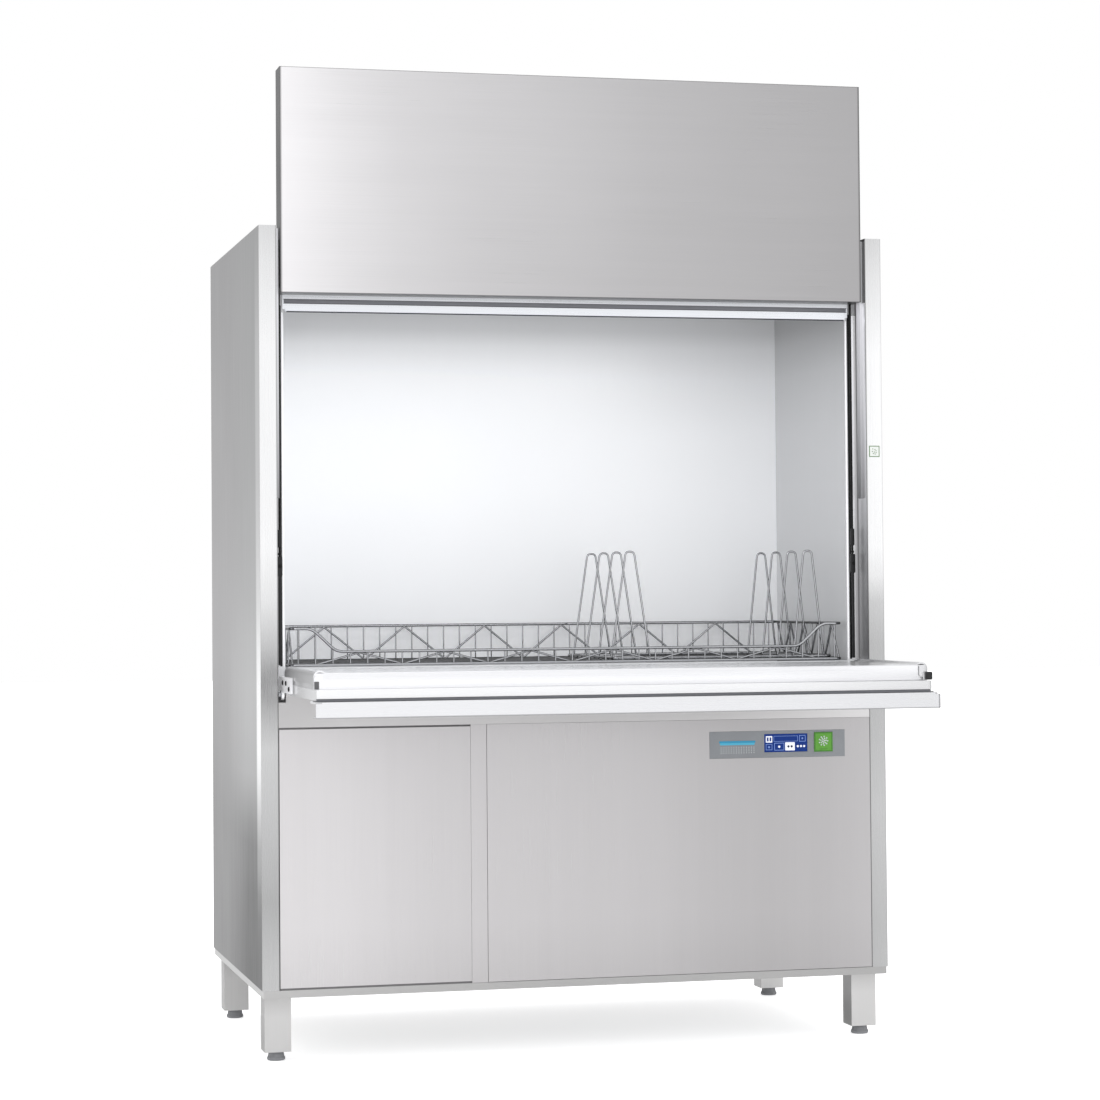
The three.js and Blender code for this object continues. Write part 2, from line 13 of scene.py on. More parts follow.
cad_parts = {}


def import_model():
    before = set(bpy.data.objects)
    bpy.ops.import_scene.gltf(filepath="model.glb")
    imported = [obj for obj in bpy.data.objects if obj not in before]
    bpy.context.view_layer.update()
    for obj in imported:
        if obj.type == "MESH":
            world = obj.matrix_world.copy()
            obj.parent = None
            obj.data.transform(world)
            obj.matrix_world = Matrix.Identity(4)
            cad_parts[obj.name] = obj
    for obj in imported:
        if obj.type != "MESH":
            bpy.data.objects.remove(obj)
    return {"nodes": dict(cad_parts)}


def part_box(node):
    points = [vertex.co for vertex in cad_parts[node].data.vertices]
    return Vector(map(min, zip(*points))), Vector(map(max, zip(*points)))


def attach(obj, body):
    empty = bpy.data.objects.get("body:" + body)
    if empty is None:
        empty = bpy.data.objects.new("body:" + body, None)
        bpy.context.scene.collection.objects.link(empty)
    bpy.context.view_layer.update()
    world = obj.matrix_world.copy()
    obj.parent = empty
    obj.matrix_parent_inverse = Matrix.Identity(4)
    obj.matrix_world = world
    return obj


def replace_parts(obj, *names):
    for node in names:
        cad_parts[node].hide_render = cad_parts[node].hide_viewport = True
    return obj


cad_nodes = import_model()["nodes"]
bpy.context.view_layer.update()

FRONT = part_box("front_column_left")[0].y  # the cabinet's front plane, in metres
SIDES = (("left", -1), ("right", 1))      # name and sign of x


def at(x, y, z):
    """A drawing point in millimetres, in metres in the model's frame."""
    return Vector((x / 1000.0, y / 1000.0 + FRONT, z / 1000.0))


def sides(*stems):
    return [f"{stem}_{side}" for stem in stems for side, _ in SIDES]


# ---------------------------------------------------------------- shader helpers
LOOKS = {}  # materials by name


def linear(level):
    level = level / 255.0
    return level / 12.92 if level <= 0.04045 else ((level + 0.055) / 1.055) ** 2.4


def colour(*levels):
    return (*map(linear, levels), 1.0)


class Shader:
    """A Principled material and short ways to add its nodes."""

    def __init__(self, name):
        material = LOOKS[name] = bpy.data.materials.new(name)
        material.use_nodes = True
        self.tree = material.node_tree
        self.principled = self.tree.nodes["Principled BSDF"]

    def add(self, kind, **props):
        node = self.tree.nodes.new(kind)
        for key, value in props.items():
            setattr(node, key, value)
        return node

    def feed(self, entry, value):
        """Links a socket to an input, or sets the input's plain value."""
        if isinstance(value, bpy.types.NodeSocket):
            self.tree.links.new(value, entry)
        else:
            entry.default_value = value

    def set(self, name, value):
        self.feed(self.principled.inputs[name], value)

    def noise(self, stretch, scale=1.0, detail=3.0, roughness=0.6):
        node = self.add("ShaderNodeTexNoise")
        node.inputs["Scale"].default_value = scale
        node.inputs["Detail"].default_value = detail
        node.inputs["Roughness"].default_value = roughness
        coords = self.add("ShaderNodeTexCoord")
        mapping = self.add("ShaderNodeMapping")
        mapping.inputs["Scale"].default_value = stretch
        self.feed(mapping.inputs["Vector"], coords.outputs["Object"])
        self.feed(node.inputs["Vector"], mapping.outputs["Vector"])
        return node.outputs["Fac"]

    def remap(self, value, to_range, from_range=(0.0, 1.0)):
        node = self.add("ShaderNodeMapRange")
        for label, (low, high) in (("From", from_range), ("To", to_range)):
            node.inputs[label + " Min"].default_value = low
            node.inputs[label + " Max"].default_value = high
        self.feed(node.inputs["Value"], value)
        return node.outputs["Result"]

    def swing(self, noise, centre, amount, half=0.2):
        """Noise within half of 0.5, turned into centre plus or minus amount."""
        return self.remap(noise, (centre - amount, centre + amount), (0.5 - half, 0.5 + half))

    def total(self, a, b):
        node = self.add("ShaderNodeMath", operation="ADD")
        self.feed(node.inputs[0], a)
        self.feed(node.inputs[1], b)
        return node.outputs[0]

    def grey(self, value):
        node = self.add("ShaderNodeCombineColor")
        for entry in list(node.inputs)[:3]:
            self.feed(entry, value)
        return node.outputs[0]

    def mix(self, mode, a, b, factor=1.0):
        node = self.add("ShaderNodeMix", data_type="RGBA", blend_type=mode)
        self.feed(node.inputs["Factor"], factor)
        self.feed(node.inputs[6], a)  # colours A and B
        self.feed(node.inputs[7], b)
        return node.outputs[2]

    def along(self, output, axis):
        """One axis of a texture coordinate."""
        coords = self.add("ShaderNodeTexCoord")
        split = self.add("ShaderNodeSeparateXYZ")
        self.feed(split.inputs[0], coords.outputs[output])
        return split.outputs["XYZ".index(axis)]

    def axis_ramp(self, axis, stops):
        """Greys along one object axis: stops are (position in metres, tone)."""
        low, high = stops[0][0], stops[-1][0]
        value = self.remap(self.along("Object", axis), (0, 1), (low, high))
        ramp = self.add("ShaderNodeValToRGB")
        ramp.color_ramp.interpolation = "LINEAR"
        elements = ramp.color_ramp.elements
        while len(elements) < len(stops):
            elements.new(0.5)
        for element, (position, tone) in zip(elements, stops):
            element.position = (position - low) / (high - low)
            element.color = colour(tone, tone, tone)
        self.feed(ramp.inputs["Fac"], value)
        return ramp.outputs["Color"]

    def facing(self, axis, sign, tone):
        """Painted shade: the tone on faces turned along sign * axis, white on the rest."""
        normal = self.along("Normal", axis)
        return self.grey(self.remap(normal, (1.0, linear(tone)), (0.5 * sign, 0.9 * sign)))

    def rim(self, tone):
        """Painted dark reflection: white where the surface faces the viewer, the tone towards its
        outline.
        """
        weight = self.add("ShaderNodeLayerWeight")
        weight.inputs["Blend"].default_value = 0.5
        ramp = self.add("ShaderNodeValToRGB")
        inner, outer = ramp.color_ramp.elements
        inner.position, outer.position = 0.08, 0.46
        inner.color = (1, 1, 1, 1)
        outer.color = colour(tone, tone, tone)
        self.feed(ramp.inputs["Fac"], weight.outputs["Facing"])
        return ramp.outputs["Color"]

    def finish(self, color, roughness, metallic, height, bump, distance, emit):
        self.set("Base Color", color)
        self.set("Metallic", metallic)
        self.set("Roughness", roughness)
        node = self.add("ShaderNodeBump")
        node.inputs["Strength"].default_value = bump
        node.inputs["Distance"].default_value = distance
        self.feed(node.inputs["Height"], height)
        self.set("Normal", node.outputs["Normal"])
        # emission: a painted glow that brightens the surface
        if emit:
            self.set("Emission Color", color)
            self.set("Emission Strength", emit)


def steel(name, tone, rough, grain="Z", ramps={}, front_bands=(), turned=(), rim=None,
          metallic=1.0, streak=0.022, blotch=0.012, bump=0.05, emit=0.0):
    """Brushed sheet with its grain along one axis.

    ramps: greys along an axis, painted light and shade; front_bands: (solid depth, end depth, stops
    along z) for greys of painted shade and highlight that take over near the front; turned: (axis,
    sign, tone) for painted shade on faces turned that way; rim: tone of a painted dark reflection at
    the outline;
    emit: strength of a painted glow; streak and blotch: swing of the tone along and across the grain.
    """
    def stretch(along, across):
        return tuple(along if axis == grain else across for axis in "XYZ")

    shader = Shader(name)
    fine = shader.noise(stretch(3, 700), detail=2.0)
    soft = shader.noise(stretch(0.6, 34), detail=4.0)
    slow = shader.noise((1.7, 1.7, 1.7), detail=2.0, roughness=0.5)
    color = colour(*tone)
    for axis, stops in dict(ramps).items():
        color = shader.mix("MULTIPLY", shader.axis_ramp(axis, stops), color)
    for near, far, stops in front_bands:
        mask = shader.axis_ramp("Y", [(FRONT, 255), (FRONT + near, 255), (FRONT + far, 0)])
        to_value = shader.add("ShaderNodeRGBToBW")
        shader.feed(to_value.inputs[0], mask)
        band = shader.axis_ramp("Z", stops)
        color = shader.mix("MIX", color, band, factor=to_value.outputs[0])
    for axis, sign, face_tone in turned:
        color = shader.mix("MULTIPLY", shader.facing(axis, sign, face_tone), color)
    if rim is not None:
        color = shader.mix("MULTIPLY", shader.rim(rim), color)
    streaks = shader.total(shader.swing(fine, 0, streak, half=0.25),
                           shader.swing(soft, 0, streak * 0.45))
    variation = shader.total(streaks, shader.swing(slow, 0, blotch))
    color = shader.mix("MULTIPLY", color, shader.grey(shader.total(variation, 1.0)))
    roughness = shader.total(shader.swing(fine, rough, 0.07, half=0.25),
                             shader.swing(slow, 0, 0.03))
    shader.finish(color, roughness, metallic, fine, bump, distance=0.0004, emit=emit)


def plastic(name, tone, rough, specular, grain=0.0006, bump=0.15, metallic=0.0, emit=0.0,
            coat=0.0):
    """Moulded or printed surface: slightly mottled, with a fine bump of grain metres."""
    shader = Shader(name)
    fine = shader.noise((1, 1, 1), scale=1.0 / grain)
    slow = shader.noise((1, 1, 1), scale=22.0)
    mottle = shader.grey(shader.total(shader.swing(slow, 0, 0.04), 1.0))
    color = shader.mix("MULTIPLY", colour(*tone), mottle)
    roughness = shader.total(shader.swing(fine, rough, 0.05), 0.0)
    shader.set("Specular IOR Level", specular)
    shader.set("Coat Weight", coat)
    shader.finish(color, roughness, metallic, fine, bump, distance=0.0002, emit=emit)


# ---------------------------------------------------------------- steels
POLISHED = dict(streak=0.004, blotch=0.005, bump=0.02)

# upper door: painted light falling off from left to right, painted shade along its edges and on its
# side and top faces
steel("upper_door_steel", tone=(255, 253, 254), rough=0.34, grain="X", ramps={
    "X": [(-0.6872, 70), (-0.6852, 120), (-0.6840, 255), (-0.62, 247), (-0.54, 237),
          (-0.42, 226), (-0.22, 215), (-0.02, 207), (0.17, 198), (0.36, 192), (0.55, 186),
          (0.684, 181), (0.6852, 120), (0.6872, 80)],
    "Z": [(1.7228, 90), (1.7245, 250), (1.85, 252), (2.05, 255), (2.2295, 255), (2.2302, 120),
          (2.2312, 90)]},
    turned=[("X", -1, 120), ("X", 1, 150), ("Z", 1, 190)])
# side panel: painted shade, darkest near the floor; near the front a band of painted shade and a
# strip of painted highlight; painted shade on faces turned up
SIDE_SHADE = [
    (0.16, 10), (0.32, 14), (0.373, 34), (0.425, 63), (0.477, 74), (0.53, 110), (0.58, 140),
    (0.64, 166), (0.74, 176), (0.84, 181), (0.945, 179), (1.035, 172), (1.30, 159), (1.59, 150),
    (1.88, 144)]
SIDE_HIGHLIGHT = [
    (0.16, 10), (0.22, 14), (0.27, 30), (0.32, 58), (0.373, 99), (0.425, 138), (0.477, 152),
    (0.53, 184), (0.58, 212), (0.64, 240), (0.70, 255), (0.84, 254), (0.90, 246), (1.035, 222),
    (1.30, 191), (1.59, 183), (1.80, 155), (1.88, 145)]
steel("side_steel", tone=(255, 253, 254), rough=0.36, streak=0.02, ramps={
    "Z": [(0.16, 112), (0.24, 114), (0.36, 121), (0.50, 123), (0.60, 135), (0.70, 146),
          (0.80, 155), (0.90, 164), (1.035, 165), (1.30, 158), (1.59, 150), (1.88, 144)]},
    front_bands=[(0.22, 0.56, SIDE_SHADE), (0.060, 0.076, SIDE_HIGHLIGHT)], turned=[("Z", 1, 235)])
# right, rear and roof panels: painted shade, darker near the floor and on faces turned up
steel("rear_steel", tone=(214, 213, 213), rough=0.38, streak=0.02,
      ramps={"Z": [(0.16, 214), (0.60, 230), (1.20, 240), (1.88, 232)]}, turned=[("Z", 1, 235)])
# columns: painted shade below the open flap and towards the top, along their inner edges and on their
# side faces
COLUMN_SHADING = {
    "left": {
        "Z": [(0.16, 196), (0.24, 190), (0.36, 176), (0.60, 201), (0.70, 210), (0.78, 192),
              (0.85, 172), (0.92, 200), (1.035, 238), (1.15, 255), (1.60, 255), (1.78, 240),
              (1.88, 226)],
        "X": [(-0.7362, 250), (-0.7340, 255), (-0.6995, 255), (-0.6975, 170), (-0.69, 120)]},
    "right": {
        "Z": [(0.16, 190), (0.26, 188), (0.54, 200), (0.82, 190), (0.92, 192), (1.02, 210),
              (1.08, 240), (1.15, 254), (1.60, 255), (1.78, 236), (1.88, 220)],
        "X": [(0.69, 120), (0.6975, 160), (0.6995, 250), (0.7335, 255), (0.7350, 235),
              (0.7362, 195)]}}
for side, column_shading in COLUMN_SHADING.items():
    steel("column_steel_" + side, tone=(255, 255, 255), rough=0.28, ramps=column_shading,
          streak=0.012, blotch=0.006, turned=[("X", 1, 190), ("X", -1, 190)])
# service door, front panel and mullion: painted light falling off from left to right, painted shade
# near the floor and on side and top faces
steel("service_door_steel", tone=(255, 252, 253), rough=0.34, ramps={
    "X": [(-0.70, 223), (-0.55, 221), (-0.45, 215), (-0.35, 210), (-0.22, 206), (-0.05, 203),
          (0.15, 199), (0.32, 191), (0.45, 187), (0.60, 189), (0.70, 194)],
    "Z": [(0.16, 248), (0.30, 255), (0.70, 255), (0.75, 253)]},
    turned=[("X", 1, 150), ("X", -1, 150), ("Z", 1, 150)])
# upper rail and base frame: painted light and shade varying from left to right
steel("rail_steel", tone=(255, 253, 253), rough=0.36, grain="X", ramps={
    "X": [(-0.70, 206), (-0.55, 218), (-0.45, 214), (0.0, 204), (0.35, 207), (0.70, 224)]})
steel("base_steel", tone=(255, 254, 253), rough=0.36, grain="X",
      ramps={"X": [(-0.74, 196), (0.0, 185), (0.74, 180)]})
# door liner, flap shell and wash arms: painted glow, painted shade towards the right end and on side
# and underside faces
steel("bright_steel", tone=(247, 247, 248), rough=0.28, grain="X", emit=0.10, ramps={
    "X": [(-0.70, 255), (0.30, 249), (0.60, 234), (0.674, 229), (0.681, 214), (0.6836, 140)]},
    turned=[("X", 1, 205), ("X", -1, 215), ("Z", -1, 204)], **POLISHED)
# flap liner: painted glow, painted shade towards the right end, on faces turned up and on faces
# turned left
steel("liner_steel", tone=(247, 247, 249), rough=0.28, grain="X", emit=0.11, ramps={
    "X": [(-0.70, 255), (0.30, 249), (0.60, 234), (0.676, 229), (0.6825, 196), (0.6850, 160)]},
    turned=[("Z", 1, 232), ("X", -1, 166)], **POLISHED)
# flap handle: faint painted glow, painted shade towards the right end, along the lower edge and on
# side, top and bottom faces
steel("handle_steel", tone=(243, 243, 245), rough=0.26, grain="X", emit=0.02, ramps={
    "X": [(-0.70, 255), (0.0, 250), (0.45, 245), (0.684, 241), (0.6866, 226), (0.6892, 110)],
    "Z": [(0.7868, 165), (0.7882, 185), (0.7896, 250), (0.7915, 255), (0.824, 255)]},
    turned=[("X", 1, 215), ("X", -1, 225), ("Z", 1, 170), ("Z", -1, 215)], **POLISHED)
# header: painted glow, painted shade on its underside
steel("header_steel", tone=(236, 238, 242), rough=0.3, grain="X", streak=0.006, bump=0.02,
      emit=0.12, turned=[("Z", -1, 110)])
# wash chamber: painted glow; painted shade low down and under the ceiling, lighter on the left, and
# on faces turned left and down
steel("chamber_steel", tone=(247, 248, 250), rough=0.42, metallic=0.25, streak=0.01,
      blotch=0.02, emit=0.22, ramps={
    "Z": [(0.82, 236), (0.95, 252), (1.30, 255), (1.45, 252), (1.58, 243), (1.66, 226),
          (1.70, 206), (1.76, 196)],
    "X": [(-0.70, 255), (-0.2, 253), (0.4, 250), (0.70, 248)]},
    turned=[("X", -1, 205), ("Z", -1, 200)])
steel("mill_steel", tone=(176, 177, 180), rough=0.42)
# flap arms: painted glow, painted shade on faces turned down
steel("arm_steel", tone=(242, 242, 244), rough=0.34, grain="Y", streak=0.01, emit=0.22,
      turned=[("Z", -1, 186)])
# legs: painted shade near the cabinet's underside and on side faces
steel("leg_steel", tone=(232, 231, 230), rough=0.34,
      ramps={"Z": [(0.0, 238), (0.10, 236), (0.15, 214)]},
      turned=[("X", -1, 205), ("X", 1, 205)])
# rack wires: painted dark reflection along each wire's outline
steel("rack_wire_steel", tone=(196, 197, 200), rough=0.10, streak=0.01, bump=0.02, rim=10)
# door jambs: painted glow on all four; painted shade deepening lower down on the guide, strip and
# return; the thin line is a painted highlight
steel("jamb_guide_steel", tone=(236, 236, 239), rough=0.34, streak=0.01, emit=0.26,
      ramps={"Z": [(1.26, 150), (1.34, 178), (1.50, 210), (1.70, 228), (1.87, 232)]})
steel("jamb_line_steel", tone=(250, 250, 252), rough=0.34, streak=0.004, emit=0.45)
steel("jamb_strip_steel", tone=(246, 246, 248), rough=0.34, streak=0.01, emit=0.42,
      ramps={"Z": [(0.88, 216), (1.10, 226), (1.40, 246), (1.70, 252)]})
steel("jamb_return_steel", tone=(240, 240, 243), rough=0.34, streak=0.01, emit=0.36,
      ramps={"Z": [(0.88, 118), (1.15, 140), (1.32, 190), (1.50, 214), (1.70, 232)]})

# ---------------------------------------------------------------- plastics, paints and castings
# name, tone, roughness, specular level, other settings
PLASTICS = [
    ("foot_rubber", (148, 149, 152), 0.75, 0.3, dict(grain=0.0008, bump=0.3)),
    ("black_plastic", (24, 25, 27), 0.42, 0.5, {}),
    ("black_screw", (16, 16, 17), 0.3, 0.6, dict(metallic=0.6)),
    ("cast_metal", (120, 123, 127), 0.6, 0.5, dict(grain=0.0012, bump=0.5, metallic=0.8)),
    ("motor_paint", (60, 84, 110), 0.45, 0.5, {}),
    ("white_plastic", (226, 226, 222), 0.5, 0.5, {}),
    ("bezel_grey", (150, 153, 157), 0.4, 0.4, {}),
    # grey of the gaps around the service door: painted shade
    ("gap_shade", (128, 127, 128), 0.6, 0.2, {}),
    # dark lines at the header groove's edges and the header's lower edge: painted shade
    ("edge_shade_line", (70, 72, 78), 0.6, 0.2, {}),
    # grey in the grooves over the handle and along the header: painted shade
    ("groove_shade", (136, 137, 142), 0.5, 0.3, {}),
    # darker grey of the left lip's rolled end: painted shade
    ("lip_end_shade", (104, 104, 106), 0.5, 0.4, {}),
    ("display_blue", (6, 54, 138), 0.34, 0.25, dict(emit=0.04)),
    ("icon_white", (238, 241, 248), 0.4, 0.5, dict(emit=0.35)),
    ("icon_line", (120, 150, 214), 0.4, 0.5, dict(emit=0.2)),
    ("icon_dark", (20, 32, 66), 0.4, 0.5, {}),
    ("stripe_cyan", (52, 160, 202), 0.4, 0.5, {}),
    ("stripe_cyan_light", (86, 192, 226), 0.4, 0.5, {}),
    ("button_green", (100, 172, 58), 0.35, 0.4, dict(coat=0.1)),
    ("button_green_edge", (72, 140, 40), 0.35, 0.5, {}),
    # the pale dots' slight glow is painted light
    ("pale_grey", (206, 210, 212), 0.4, 0.5, dict(emit=0.1)),
    ("door_seal", (54, 56, 60), 0.7, 0.3, {}),
    ("label_ground", (244, 247, 243), 0.45, 0.5, {}),
    ("label_line", (98, 132, 84), 0.5, 0.5, {}),
]
for name, tone, rough, specular, settings in PLASTICS:
    plastic(name, tone, rough, specular, **settings)

# ---------------------------------------------------------------- looks of the CAD pieces
WASH_ARMS = sides("upper_wash_arm", "lower_wash_arm")
LEGS = sides("leg_front", "leg_rear")
CAD_LOOKS = {
    "upper_door_steel": ["upper_door_shell"],
    "side_steel": ["side_panel_left"],
    "rear_steel": ["side_panel_right", "rear_panel", "roof_panel"],
    "column_steel_left": ["front_column_left"],
    "column_steel_right": ["front_column_right"],
    "service_door_steel": ["front_panel", "service_door", "mullion"],
    "rail_steel": ["upper_rail"],
    "base_steel": ["base_frame"],
    "bright_steel": ["upper_door_liner", "flap_shell"],
    "liner_steel": ["flap_liner"],
    "handle_steel": ["flap_handle"],
    "header_steel": ["header_panel"],
    "chamber_steel": ["wash_chamber"],
    "jamb_guide_steel": sides("door_guide"),
    "mill_steel": ["wash_tank", "tank_strainer", "tank_heater", "wash_manifold", "rinse_boiler",
                   *sides("rack_rail", "balance_spring", "hinge_pin")],
    "arm_steel": sides("flap_arm"),
    "leg_steel": LEGS,
    "rack_wire_steel": ["wire_rack", "tray_insert"],
    "foot_rubber": sides("foot_front", "foot_rear"),
    "black_plastic": [*sides("door_slider", "door_link"), "drain_pump"],
    "cast_metal": ["wash_pump_casing", "rinse_pump"],
    "motor_paint": ["wash_pump_motor"],
    "white_plastic": ["inlet_valve"],
    "bezel_grey": ["control_bezel", "electrical_box"],
    "display_blue": ["display"],
    "button_green": ["start_button"],
}
for look, names in CAD_LOOKS.items():
    for name in names:
        node = cad_nodes[name]
        for slot in node.material_slots:
            slot.material = LOOKS[look]
        if not node.material_slots:
            node.data.materials.append(LOOKS[look])
for name in WASH_ARMS:
    for slot in cad_nodes[name].material_slots:
        slot.material = LOOKS["bright_steel"]

# softened edges: bevel width in millimetres, pieces
BEVELS = {
    0.3: ["display"],
    0.5: ["control_bezel"],
    0.7: ["mullion", "upper_rail"],
    0.8: ["roof_panel", "rear_panel", "header_panel", "start_button", "upper_door_liner",
          "electrical_box", *sides("flap_arm")],
    0.9: sides("side_panel", "front_column"),
    1.0: ["front_panel", "service_door", *sides("door_slider")],
    1.2: ["upper_door_shell", "flap_shell", "flap_handle", "base_frame"],
    2.0: ["wash_pump_motor"],
    2.5: LEGS,
    3.0: ["wash_pump_casing", "inlet_valve", *WASH_ARMS],
}
for width, names in BEVELS.items():
    for name in names:
        bevel = cad_nodes[name].modifiers.new("edge", "BEVEL")
        bevel.width = width / 1000.0
        bevel.segments = 2
        bevel.limit_method = "ANGLE"
        bevel.angle_limit = math.radians(40)
        bevel.use_clamp_overlap = True
        bevel.harden_normals = False


# ---------------------------------------------------------------- mesh builders
# A mount is the body a piece rides on and the name of a material slot, which is not used.
def mounted(name, mesh, material, mount):
    body, slot = mount
    mesh.materials.append(LOOKS[material])
    obj = bpy.data.objects.new(name, mesh)
    bpy.context.scene.collection.objects.link(obj)
    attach(obj, body)
    return obj


def piece(name, verts, faces, material, mount, sharp=None):
    """A mesh smoothed up to the sharp angle in degrees, or flat shaded without one."""
    mesh = bpy.data.meshes.new(name)
    mesh.from_pydata([tuple(v) for v in verts], [], faces)
    mesh.validate()
    bm = bmesh.new()
    bm.from_mesh(mesh)
    bmesh.ops.recalc_face_normals(bm, faces=bm.faces)
    for face in bm.faces:
        face.smooth = sharp is not None
    if sharp is not None:
        for edge in bm.edges:
            if len(edge.link_faces) == 2 and edge.calc_face_angle(0) > math.radians(sharp):
                edge.smooth = False
    bm.to_mesh(mesh)
    bm.free()
    return mounted(name, mesh, material, mount)


def rounded(points, radius, closed, steps=5):
    """The path with its corners turned into curves."""
    path = []
    count = len(points)
    for i, corner in enumerate(points):
        if not closed and i in (0, count - 1):
            path.append(corner)
            continue
        before = points[i - 1] - corner
        after = points[(i + 1) % count] - corner
        reach = min(radius, before.length * 0.48, after.length * 0.48)
        start = corner + before.normalized() * reach
        end = corner + after.normalized() * reach
        for step in range(steps + 1):
            t = step / steps
            path.append(start * (1 - t) ** 2 + corner * 2 * t * (1 - t) + end * t * t)
    return path


def sweep(verts, faces, path, radius, sides_, closed):
    """Adds a round tube along the path, capped unless it is closed."""
    count = len(path)
    base = len(verts)
    tangents = []
    for i in range(count):
        if closed:
            tangent = path[(i + 1) % count] - path[i - 1]
        else:
            tangent = path[min(i + 1, count - 1)] - path[max(i - 1, 0)]
        tangents.append(tangent.normalized())
    up = Vector((0, 0, 1)) if abs(tangents[0].z) < 0.9 else Vector((1, 0, 0))
    u = (up - tangents[0] * up.dot(tangents[0])).normalized()
    for centre, tangent in zip(path, tangents):
        u = (u - tangent * u.dot(tangent)).normalized()
        v = tangent.cross(u)
        for k in range(sides_):
            angle = 2 * math.pi * k / sides_
            verts.append(centre + (u * math.cos(angle) + v * math.sin(angle)) * radius)
    for i in range(count if closed else count - 1):
        this = base + i * sides_
        following = base + (i + 1) % count * sides_
        for k in range(sides_):
            k2 = (k + 1) % sides_
            faces.append((this + k, this + k2, following + k2, following + k))
    if not closed:
        faces.append(tuple(base + k for k in reversed(range(sides_))))
        faces.append(tuple(base + (count - 1) * sides_ + k for k in range(sides_)))


def wire(points, radius, sides, corner=0, closed=False):
    """One wire for wirework(), in drawing millimetres; corner is the bend radius."""
    return points, radius, sides, corner, closed


def wirework(name, wires, material, mount):
    verts, faces = [], []
    for points, radius, sides_, corner, closed in wires:
        path = [at(*p) for p in points]
        if corner:
            path = rounded(path, corner / 1000.0, closed)
        sweep(verts, faces, path, radius / 1000.0, sides_, closed)
    return piece(name, verts, faces, material, mount, sharp=60)


def lathe(name, profile, centre, axis, material, mount, steps):
    """A turned piece; the profile is (radius, height along axis), ending on the axis."""
    along = Vector(axis).normalized()
    u = Vector((1, 0, 0)) if abs(along.x) < 0.9 else Vector((0, 1, 0))
    u = (u - along * u.dot(along)).normalized()
    v = along.cross(u)
    origin = at(*centre)
    verts, faces, rows = [], [], []
    for radius, height in profile:
        first = len(verts)
        if radius == 0:
            verts.append(origin + along * height / 1000.0)
        else:
            for k in range(steps):
                angle = 2 * math.pi * k / steps
                outward = u * math.cos(angle) + v * math.sin(angle)
                verts.append(origin + outward * radius / 1000.0 + along * height / 1000.0)
        rows.append(range(first, len(verts)))
    for a, b in zip(rows, rows[1:]):
        for k in range(steps):
            k2 = (k + 1) % steps
            if len(a) == 1:
                faces.append((a[0], b[k], b[k2]))
            elif len(b) == 1:
                faces.append((a[k], a[k2], b[0]))
            else:
                faces.append((a[k], a[k2], b[k2], b[k]))
    return piece(name, verts, faces, material, mount, sharp=35)


def slab(name, box, material, mount, radius, segments=3, along=None):
    """A block (x0, x1, y0, y1, z0, z1) with its edges rounded, or only those along one axis."""
    x0, x1, y0, y1, z0, z1 = box
    low, high = at(x0, y0, z0), at(x1, y1, z1)
    centre, size = (low + high) / 2, high - low
    bm = bmesh.new()
    bmesh.ops.create_cube(bm, size=1.0)
    for v in bm.verts:
        v.co = Vector([centre[i] + v.co[i] * size[i] for i in range(3)])
    edges = list(bm.edges)
    if along is not None:
        i = "xyz".index(along)
        edges = [e for e in edges if abs((e.verts[0].co - e.verts[1].co)[i]) > 1e-9]
    bmesh.ops.bevel(bm, geom=edges, offset=radius / 1000.0, segments=segments, profile=0.5,
                    affect="EDGES", clamp_overlap=True)
    bm.normal_update()
    mesh = bpy.data.meshes.new(name)
    bm.to_mesh(mesh)
    bm.free()
    for polygon in mesh.polygons:
        polygon.use_smooth = True
    mesh.set_sharp_from_angle(angle=math.radians(35))
    return mounted(name, mesh, material, mount)


def prism(name, section, start, end, material, mount, axis="x"):
    """A capped sweep along x (section in y, z) or along y (section in x, z)."""
    count = len(section)
    verts = [at(t, u, v) if axis == "x" else at(u, t, v) for t in (start, end) for u, v in section]
    faces = []
    for i in range(count):
        j = (i + 1) % count
        faces.append((i, j, count + j, count + i))
    faces.append(tuple(reversed(range(count))))
    faces.append(tuple(range(count, 2 * count)))
    return piece(name, verts, faces, material, mount, sharp=30)


def arc(centre_x, centre_z, radius, start, end, steps):
    """Points on an arc between two angles in degrees."""
    angles = [math.radians(start + (end - start) * i / steps) for i in range(steps + 1)]
    return [(centre_x + radius * math.cos(a), centre_z + radius * math.sin(a)) for a in angles]


def ring(centre_x, centre_z, radius, count, phase=0.0):
    angles = [phase + 2 * math.pi * k / count for k in range(count)]
    return [(centre_x + radius * math.cos(a), centre_z + radius * math.sin(a)) for a in angles]


def span(sign, inner, outer):
    """An x range on the side given by sign, low end first."""
    return sorted((sign * inner, sign * outer))


# ---------------------------------------------------------------- wire rack
RACK = ("rack", "rack_wire")
RIM_INSET = 3.6
RACK_FRONT, RACK_BACK = 75 + RIM_INSET, 585 - RIM_INSET
RACK_HALF = 656.5
RACK_FLOOR, RACK_TOP = 885.4, 968.4
DIP_HEIGHT = 915.6                # the front rim's lowered middle
DIP_HALF, DIP_END_HALF = 552, 608  # half widths at the foot and top of its slopes
BAR_RADIUS, UPRIGHT_RADIUS, ZIGZAG_RADIUS = 1.7, 1.5, 2.4
ZIGZAG_INSET = 4.0
ZIGZAG_LOW = RACK_FLOOR + 0.5
ZIGZAG_X = (-498, -398, -299, -198, -98, 0, 98, 198, 299, 398, 498, 598)


def front_rim_height(x):
    slope = (RACK_TOP - DIP_HEIGHT) / (DIP_END_HALF - DIP_HALF)
    return min(max(DIP_HEIGHT, DIP_HEIGHT + (abs(x) - DIP_HALF) * slope), RACK_TOP)


